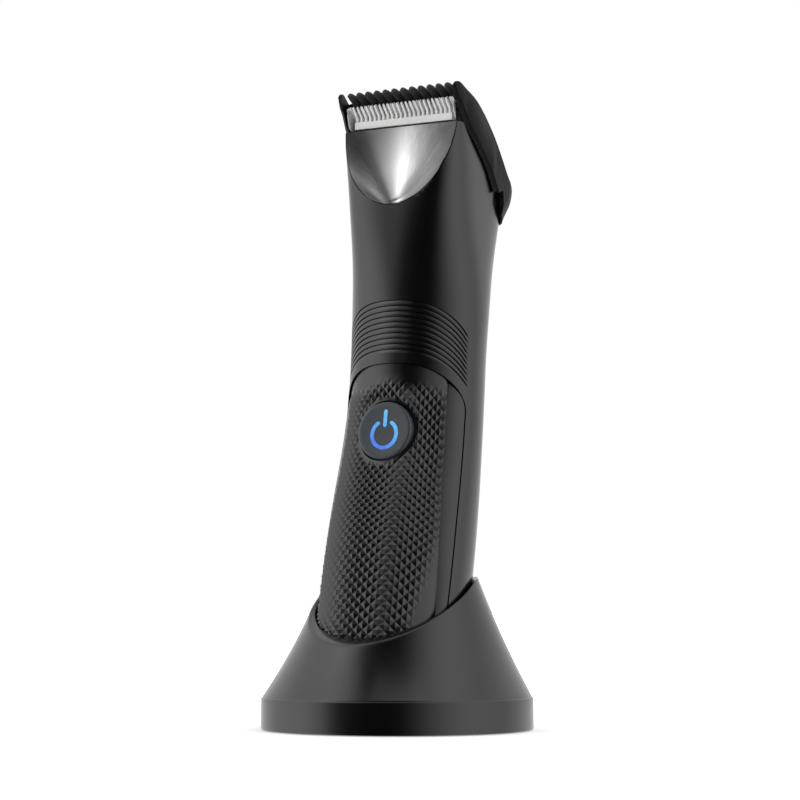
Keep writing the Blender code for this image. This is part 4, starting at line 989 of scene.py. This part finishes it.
# ---- blades ----------------------------------------------------------------------------------
def build_fixed_blade(m):
    """Steel plate with a row of pointed teeth between two rounded end tabs."""
    first = -BLADE_PITCH * (BLADE_TEETH - 1) / 2
    middle_x = BLADE_HALF_WIDTH - BLADE_TAB_ROUND
    middle_y = BLADE_TAB_FRONT + BLADE_TAB_ROUND
    tab = [(BLADE_PITCH * 0.62 - first, BLADE_TAB_FRONT)]
    for a in spread(0.0, math.pi / 2, 7):
        tab.append((middle_x + BLADE_TAB_ROUND * math.sin(a), middle_y - BLADE_TAB_ROUND * math.cos(a)))
    tab.append((BLADE_HALF_WIDTH, BLADE_LENGTH))
    outline = [(-x, y) for x, y in reversed(tab)]
    for i in range(BLADE_TEETH):
        x = first + i * BLADE_PITCH
        outline += [(x + BLADE_PITCH * share, depth * BLADE_SLOT) for share, depth in BLADE_TOOTH]
    outline += tab
    blade = prism("blade_plate", outline, -BLADE_THICKNESS, 0.0, m["blade_steel"], BLADE)
    for low in (-BLADE_CHEEK, BLADE_CHEEK - BLADE_CHEEK_WALL):
        cheek = prism("blade_cheek", cheek_outline(), low, low + BLADE_CHEEK_WALL, None, SIDEWAYS)
        boolean(blade, cheek, "UNION")
    for x in (-BLADE_SCREW_X, BLADE_SCREW_X):
        place = BLADE @ Matrix.Translation((x, BLADE_SCREW_Y, 0))
        boolean(blade, turned("screw_hole", [(1.0 * MM, -2 * MM), (1.0 * MM, 2 * MM)], None, place, 32),
                "DIFFERENCE")
    reshade(blade, 30)
    bevel(blade, 0.07 * MM)
    place_piece(blade, "blade_module", "blade_steel", "fixed_blade")


def cheek_outline():
    """Side view of the thin steel cheeks that hang from the blade at both ends of the cutter."""
    top = [BLADE @ Vector((0, y * MM, -0.3 * MM)) for y in (8.0, 0.7)]
    front = ((1.35, 173.2), (1.7, 171.6), (2.3, 170.1), (3.2, 168.9), (6.4, 168.9))
    return [(p.y, p.z) for p in top] + [(y * MM, z * MM) for y, z in front]


# ---- guard comb ------------------------------------------------------------------------------
def comb_top(depth):
    """Height of the comb's outer line at a depth, both in mm."""
    return follow(COMB_TOP, depth * MM)[0]


def line_at(rows, depth):
    """Height of a broken line at a depth, both in mm."""
    i = max(k for k in range(len(rows) - 1) if rows[k][0] <= depth or k == 0)
    y0, z0 = rows[i]
    y1, z1 = rows[i + 1]
    return z0 + (z1 - z0) * (depth - y0) / (y1 - y0)


def arm_x(depth):
    """Distance from the middle to an arm's inner side: the arms flare out, then run straight."""
    flare = 17.95 * MM + 0.15 * depth * MM
    straight = section(157 * MM)[0] + COMB_GAP + COMB_INSET
    near = max(ARM_BLEND - abs(flare - straight), 0.0)
    return min(flare, straight) - near ** 2 / (4 * ARM_BLEND)


def comb_arm(name, side):
    """An upright plate with rounded outer edges; its inner lower edge leads the outer one."""
    last = ARM_LOW[-1][0]
    rings = []
    for depth in sorted(set(spread(-0.6, 1.2, 7) + spread(1.5, last, 60) + [y for y, _ in ARM_LOW])):
        inner = arm_x(depth)
        outer = inner + COMB_WALL - 2 * COMB_INSET
        inner_low = line_at(ARM_LOW, min(depth + ARM_CHAMFER, last)) * MM
        outer_low = line_at(ARM_LOW, depth) * MM
        top = comb_top(depth) * MM - 2 * COMB_INSET
        r = min(0.25 * MM, 0.4 * (top - outer_low))
        outline = [(inner, inner_low), (outer - r, outer_low), (outer - 0.3 * r, outer_low + 0.3 * r),
                   (outer, outer_low + r), (outer, top - r), (outer - 0.3 * r, top - 0.3 * r),
                   (outer - r, top), (inner + r, top), (inner, top - r)]
        rings.append([Vector((side * x, depth * MM, z)) for x, z in outline])
    return loft(name, rings)


def rib_half(depth):
    """Half width of a rib: a narrow tip that widens until neighbours meet at the root."""
    share = min(max((depth + 0.6) / (COMB_ROOT + 0.6), 0.0), 1.0)
    return (COMB_TIP_WIDTH + (COMB_PITCH - COMB_TIP_WIDTH) * share ** 0.9) / 2


def build_ribs(m):
    """One sheet of ribs with V gaps between their tips and V grooves under it, closed all round."""
    bm = bmesh.new()
    shares = (-1.0, -0.8, -0.5, -0.2, 0.0, 0.2, 0.5, 0.8, 1.0)
    depths = spread(-0.6, COMB_ROOT, 14) + spread(COMB_ROOT + 0.8, SHEET_START + 2.0, 12)
    limit = COMB_TEETH - 1
    for i in range(COMB_TEETH):
        middle = COMB_PITCH * (i - limit / 2)
        top, under = [], []
        for depth in depths:
            half = rib_half(depth)
            low = line_at(TOOTH_LOW, depth)
            high = comb_top(depth) - 0.1
            tip = smooth(-0.6, 0.9, depth)
            crown = 0.35 * (1.0 - smooth(0.5, COMB_ROOT, depth)) + 0.10
            valley = high - crown - COMB_VALLEY * (0.25 + 0.75 * tip)
            top_row, under_row = [], []
            for share in shares:
                x = middle + half * share
                if depth > COMB_ROOT and (i, share) in ((0, -1.0), (limit, 1.0)):
                    x = math.copysign(arm_x(depth) + 0.4 * MM, share)
                rise = max(valley - low, 0.1) * abs(share) ** 1.5
                top_row.append(bm.verts.new((x, depth * MM, (high - crown * share * share) * MM)))
                under_row.append(bm.verts.new((x, depth * MM, (low + rise) * MM)))
            top.append(top_row)
            under.append(under_row)
        last = len(shares) - 1
        for a in range(len(depths) - 1):
            for c in range(last):
                bm.faces.new((top[a][c], top[a][c + 1], top[a + 1][c + 1], top[a + 1][c]))
                bm.faces.new((under[a][c], under[a + 1][c], under[a + 1][c + 1], under[a][c + 1]))
            for c, end in ((0, 0), (last, limit)):
                if depths[a + 1] <= COMB_ROOT + 1e-6 or i == end:
                    bm.faces.new((top[a][c], top[a + 1][c], under[a + 1][c], under[a][c]))
        for a in (0, len(depths) - 1):
            for c in range(last):
                bm.faces.new((top[a][c], top[a][c + 1], under[a][c + 1], under[a][c]))
    bmesh.ops.remove_doubles(bm, verts=bm.verts, dist=0.002 * MM)
    return finish_mesh("comb_ribs", bm, m["comb_black"])


def comb_offset(z):
    """How far the heel's outer wall stands off the body: a thin lower edge, a swell, then even."""
    swell = COMB_HEEL_SWELL * (1.0 - smooth(151 * MM, 163 * MM, z))
    edge = COMB_GAP + COMB_HEEL_EDGE
    return edge + (COMB_WALL - COMB_HEEL_EDGE + swell) * smooth(143 * MM, 150.5 * MM, z)


def comb_loft(name, inset, hollow=False):
    turns = [2 * math.pi * i / 96 for i in range(96)]
    heights = spread(130 * MM, 181 * MM, 40) if hollow else spread(134 * MM, 180 * MM, 47)
    return loft(name, [[skin_point(a, z, COMB_GAP if hollow else comb_offset(z) - inset) for a in turns]
                       for z in heights])


def build_comb(m):
    """The ribbed sheet with its side arms, and the heel that clips round the back of the head."""
    comb = build_ribs(m)
    back = spread(SHEET_START, COMB_TOP[-2][0], 24)
    outer = [((y - 0.1) * MM, (comb_top(y) - 0.15) * MM) for y in back]
    inner = [(y - 0.8 * MM, z - 1.1 * MM) for y, z in reversed(outer)]
    sheet = side_prism("comb_sheet", outer + inner, 30 * MM)
    boolean(sheet, comb_loft("sheet_limit", COMB_INSET), "INTERSECT")
    boolean(sheet, side_prism("sheet_sides", COMB_ROOM, arm_x(30.0) + 0.5 * COMB_WALL), "INTERSECT")
    for part in (sheet, comb_arm("comb_arm_right", 1), comb_arm("comb_arm_left", -1)):
        boolean(comb, part, "UNION")
    heel = comb_loft("comb_heel", 0.0)
    boolean(heel, comb_loft("comb_inside", 0.0, True), "DIFFERENCE")
    outline = [HEEL_START] + [(y, comb_top(y)) for y in spread(17.1, COMB_TOP[-1][0], 24)] + list(HEEL_LOW)
    boolean(heel, side_prism("heel_limit", [(y * MM, z * MM) for y, z in outline], 40 * MM), "INTERSECT")
    widest = arm_x(30.0) + COMB_WALL - 3 * COMB_INSET
    boolean(heel, side_prism("heel_sides", COMB_ROOM, widest), "INTERSECT")
    boolean(comb, heel, "UNION")
    comb.name = "comb_body"
    reshade(comb, 32)
    place_piece(comb, "comb", "matte_black", "guard_comb")


# ---- stand -----------------------------------------------------------------------------------
def socket_point(angle, z, offset):
    half_x, half_y, _ = section(AXIS_CROSSING_Z)
    return Vector(((half_x + offset) * math.cos(angle),
                   LOWER_SLOPE * (z - AXIS_CROSSING_Z) + (half_y + offset) * math.sin(angle), z))


def rim_height(middle_z, y):
    """Side view of the rim: a straight slant in front that rolls over to level at the back."""
    rolled = min(max(y, 0.0), RIM_ROLL)
    return middle_z + math.tan(RIM_ANGLE) * (min(y, RIM_ROLL) - rolled ** 2 / (2 * RIM_ROLL))


def rim_point(angle, width, middle_z):
    point = socket_point(angle, middle_z, SOCKET_CLEARANCE + width)
    for _ in range(12):
        point = socket_point(angle, rim_height(middle_z, point.y), SOCKET_CLEARANCE + width)
    return point


def rim_width(angle):
    end_width = RIM_BACK_WIDTH if math.sin(angle) > 0 else RIM_FRONT_WIDTH
    return RIM_SIDE_WIDTH + (end_width - RIM_SIDE_WIDTH) * math.sin(angle) ** 2


def round_point(angle, radius, z):
    return Vector((radius * math.cos(angle), radius * math.sin(angle), z))


def flare_point(angle, share, inset=0.0):
    """A point on the slightly hollow line from the foot's circle up to the rim."""
    foot = round_point(angle, FLARE_FOOT_RADIUS - inset, BAND_TOP)
    rim = rim_point(angle, rim_width(angle) - inset, RIM_OUTER_Z)
    point = foot.lerp(rim, share + FLARE_HOLLOW * share * (1 - share))
    point.z = foot.z + (rim.z - foot.z) * share
    return point


def stand_slice(angle):
    """The wall's closed outline at one angle, with every outside edge rounded."""
    r = BASE_RADIUS
    points = [round_point(angle, r - inward * MM, BAND_BOTTOM + up * MM) for inward, up in BAND_LOW_EDGE]
    points += [round_point(angle, r, z) for z in spread(BAND_BOTTOM + 1.2 * MM, BAND_TOP - 0.55 * MM, 5)]
    points += [round_point(angle, r - inward * MM, BAND_TOP - down * MM) for inward, down in BAND_TOP_EDGE]
    points += [flare_point(angle, share) for share in [0.004, 0.02] + spread(0.06, 0.94, 20)]
    width = rim_width(angle)
    outer = flare_point(angle, 0.975)
    inner = rim_point(angle, 0.0, RIM_INNER_Z)
    shoulder = rim_point(angle, width * 0.9, RIM_OUTER_Z)
    crest = rim_point(angle, width * 0.55, (RIM_OUTER_Z + RIM_INNER_Z) / 2 + 0.06 * MM)
    points += [outer, outer.lerp(shoulder, 0.5) + Vector((0, 0, 0.10 * MM)), shoulder, crest,
               rim_point(angle, width * 0.15, RIM_INNER_Z), inner - Vector((0, 0, 0.15 * MM))]
    half_x, half_y, _ = section(AXIS_CROSSING_Z)
    for offset in (SOCKET_CLEARANCE, SOCKET_CLEARANCE + SOCKET_WALL):
        across = (half_x + offset) * math.cos(angle)
        along = (half_y + offset) * math.cos(LOWER_TILT) * math.sin(angle)
        points.append(LOWER @ Vector((across, along, SOCKET_FLOOR)))
    hollow_top = flare_point(angle, 0.55, STAND_WALL)
    points.append(socket_point(angle, hollow_top.z, SOCKET_CLEARANCE + SOCKET_WALL))
    points.append(hollow_top)
    points.append(flare_point(angle, 0.0, STAND_WALL + 0.3 * MM))
    points.append(round_point(angle, r - 2.0 * MM, BAND_BOTTOM))
    return points


def build_stand(m):
    count = 160
    slices = [stand_slice(2 * math.pi * i / count) for i in range(count)]
    stand = loft("stand_body", slices, m["satin_black"], closed=True)
    outline = rounded_box(PORT_HALF_WIDTH, PORT_HALF_HEIGHT, PORT_ROUND)
    port = make_frame((0, 0, PORT_Z), (-1, 0, 0), (0, 0, 1), (0, -1, 0))
    boolean(stand, prism("port_hole", outline, -40 * MM, -30 * MM, None, port), "DIFFERENCE")
    reshade(stand, 32)
    place_piece(stand, "stand", "satin_black", "stand_shell")


def rounded_box(half_x, half_y, radius):
    points = []
    for side_x, side_y, start in ((1, 1, 0), (-1, 1, 90), (-1, -1, 180), (1, -1, 270)):
        for i in range(6):
            a = math.radians(start + 18 * i)
            points.append((side_x * (half_x - radius) + radius * math.cos(a),
                           side_y * (half_y - radius) + radius * math.sin(a)))
    return points


# ---- stage, light and camera -----------------------------------------------------------------
CAMERA_AZIMUTH = math.radians(29.0)
CAMERA_DISTANCE = 672.0 * MM
CAMERA_HEIGHT = 35.3 * MM
CAMERA_PITCH = math.radians(4.74)
CAMERA_LENS = 109.0
CAMERA_SIDE = 0.75 * MM


def build_camera():
    data = bpy.data.cameras.new("camera")
    data.lens = CAMERA_LENS
    data.sensor_width = 36.0
    data.clip_start = 0.01
    camera = bpy.data.objects.new("camera", data)
    bpy.context.collection.objects.link(camera)
    a = CAMERA_AZIMUTH
    right = Vector((math.cos(a), math.sin(a), 0.0))
    back = Vector((math.sin(a), -math.cos(a), 0.0))
    camera.location = back * CAMERA_DISTANCE + right * CAMERA_SIDE + Vector((0, 0, CAMERA_HEIGHT))
    camera.rotation_euler = (math.pi / 2 + CAMERA_PITCH, 0.0, a)
    bpy.context.scene.camera = camera


def softbox(name, azimuth, elevation, distance, width, height, power, colour=(1.0, 1.0, 1.0)):
    """A large soft light aimed at the middle of the object."""
    data = bpy.data.lights.new(name, "AREA")
    data.shape = "RECTANGLE"
    data.size = width
    data.size_y = height
    data.energy = power
    data.color = colour
    light = bpy.data.objects.new(name, data)
    bpy.context.collection.objects.link(light)
    a = math.radians(azimuth)
    e = math.radians(elevation)
    back = Vector((math.sin(a) * math.cos(e), -math.cos(a) * math.cos(e), math.sin(e)))
    light.location = back * distance + Vector((0, 0, 95 * MM))
    light.rotation_mode = "QUATERNION"
    light.rotation_quaternion = back.to_track_quat("Z", "Y")
    light.visible_camera = False
    return light


# direction round the object, in degrees to the right of the camera, and half the studio's brightness there
STUDIO_RING = ((-180, 0.50), (-150, 0.50), (-122, 0.62), (-104, 0.85), (-90, 1.02), (-78, 1.00),
               (-69, 0.82), (-62, 0.56), (-56, 0.27), (-50, 0.11), (-42, 0.04), (-25, 0.012), (0, 0.015),
               (10, 0.09), (20, 0.26), (32, 0.52), (44, 0.74), (57, 0.90), (68, 0.93), (84, 0.80),
               (100, 0.60), (120, 0.60), (150, 0.50), (180, 0.50))
STUDIO_TOP = 0.35
STUDIO_TOP_LEAN = 0.75


def build_world():
    """A ring of soft panels round the object, dark behind the camera, with an even ceiling."""
    world = bpy.data.worlds.new("studio")
    bpy.context.scene.world = world
    world.use_nodes = True
    n = Nodes.__new__(Nodes)
    n.tree = world.node_tree
    coords = n.add("ShaderNodeTexCoord").outputs["Generated"]
    parts = []
    a = CAMERA_AZIMUTH
    for axis in ((math.cos(a), math.sin(a), 0.0), (math.sin(a), -math.cos(a), 0.0), (0.0, 0.0, 1.0)):
        dot = n.add("ShaderNodeVectorMath", operation="DOT_PRODUCT")
        dot.inputs[1].default_value = axis
        n.link(coords, dot.inputs[0])
        parts.append(dot.outputs["Value"])
    angle = n.math("ARCTAN2", parts[0], parts[1])
    ring = n.ramp(n.map_range(angle, -math.pi, math.pi, 0.0, 1.0), STUDIO_RING)
    climb = n.map_range(parts[2], 0.86, 0.985, 0.0, 1.0)
    lean = 0.4 * STUDIO_TOP_LEAN
    ceiling = n.map_range(parts[0], -0.4, 0.4, STUDIO_TOP - lean, STUDIO_TOP + lean)
    light = n.mix(climb, ring, ceiling)
    seen = n.add("ShaderNodeLightPath").outputs["Is Camera Ray"]
    background = world.node_tree.nodes["Background"]
    n.link(n.mix(seen, light, (0.5, 0.5, 0.5)), background.inputs["Color"])
    background.inputs["Strength"].default_value = 2.0


def build_floor():
    """A plain pale floor that brightens into the backdrop with distance."""
    n = Nodes("floor")
    n.link(n.mix(n.map_range(n.noise(3.0), 0.3, 0.7, 0.0, 1.0), (0.80, 0.80, 0.80), (0.83, 0.83, 0.83)),
           n.shader.inputs["Base Color"])
    n.shader.inputs["Roughness"].default_value = 0.9
    n.shader.inputs["Specular IOR Level"].default_value = 0.0
    n.shader.inputs["Emission Color"].default_value = (1.0, 1.0, 1.0, 1.0)
    distance = n.add("ShaderNodeVectorMath", operation="LENGTH")
    n.link(n.position(), distance.inputs[0])
    away = n.map_range(distance.outputs["Value"], 60 * MM, 260 * MM, 0.38, 1.0)
    seen = n.add("ShaderNodeLightPath").outputs["Is Camera Ray"]
    n.link(n.math("MULTIPLY", away, seen), n.shader.inputs["Emission Strength"])
    bm = bmesh.new()
    bmesh.ops.create_circle(bm, cap_ends=True, radius=6.0, segments=96)
    floor = finish_mesh("floor", bm, n.mat)
    floor.visible_glossy = False


def build_stage():
    build_camera()
    build_world()
    build_floor()
    softbox("bib_card", -29, 33, 0.9, 0.75, 0.46, 0.6)
    softbox("top", 29, 80, 1.0, 0.6, 0.6, 0.6)
    bpy.context.scene.view_settings.view_transform = "Standard"


def paint_frame(m):
    """Every CAD node that stays in view gets the detailed material of its slot."""
    slots = {row["node"]: row["material_slot"] for row in frame["record"]["subparts"]}
    for name, obj in frame["nodes"].items():
        obj.data.materials.clear()
        obj.data.materials.append(m[slots[name]])


def build():
    m = make_materials()
    paint_frame(m)
    build_stand(m)
    build_housing(m)
    build_grip_panel(m)
    build_button(m)
    build_bib(m)
    build_fixed_blade(m)
    build_comb(m)
    build_stage()


build()
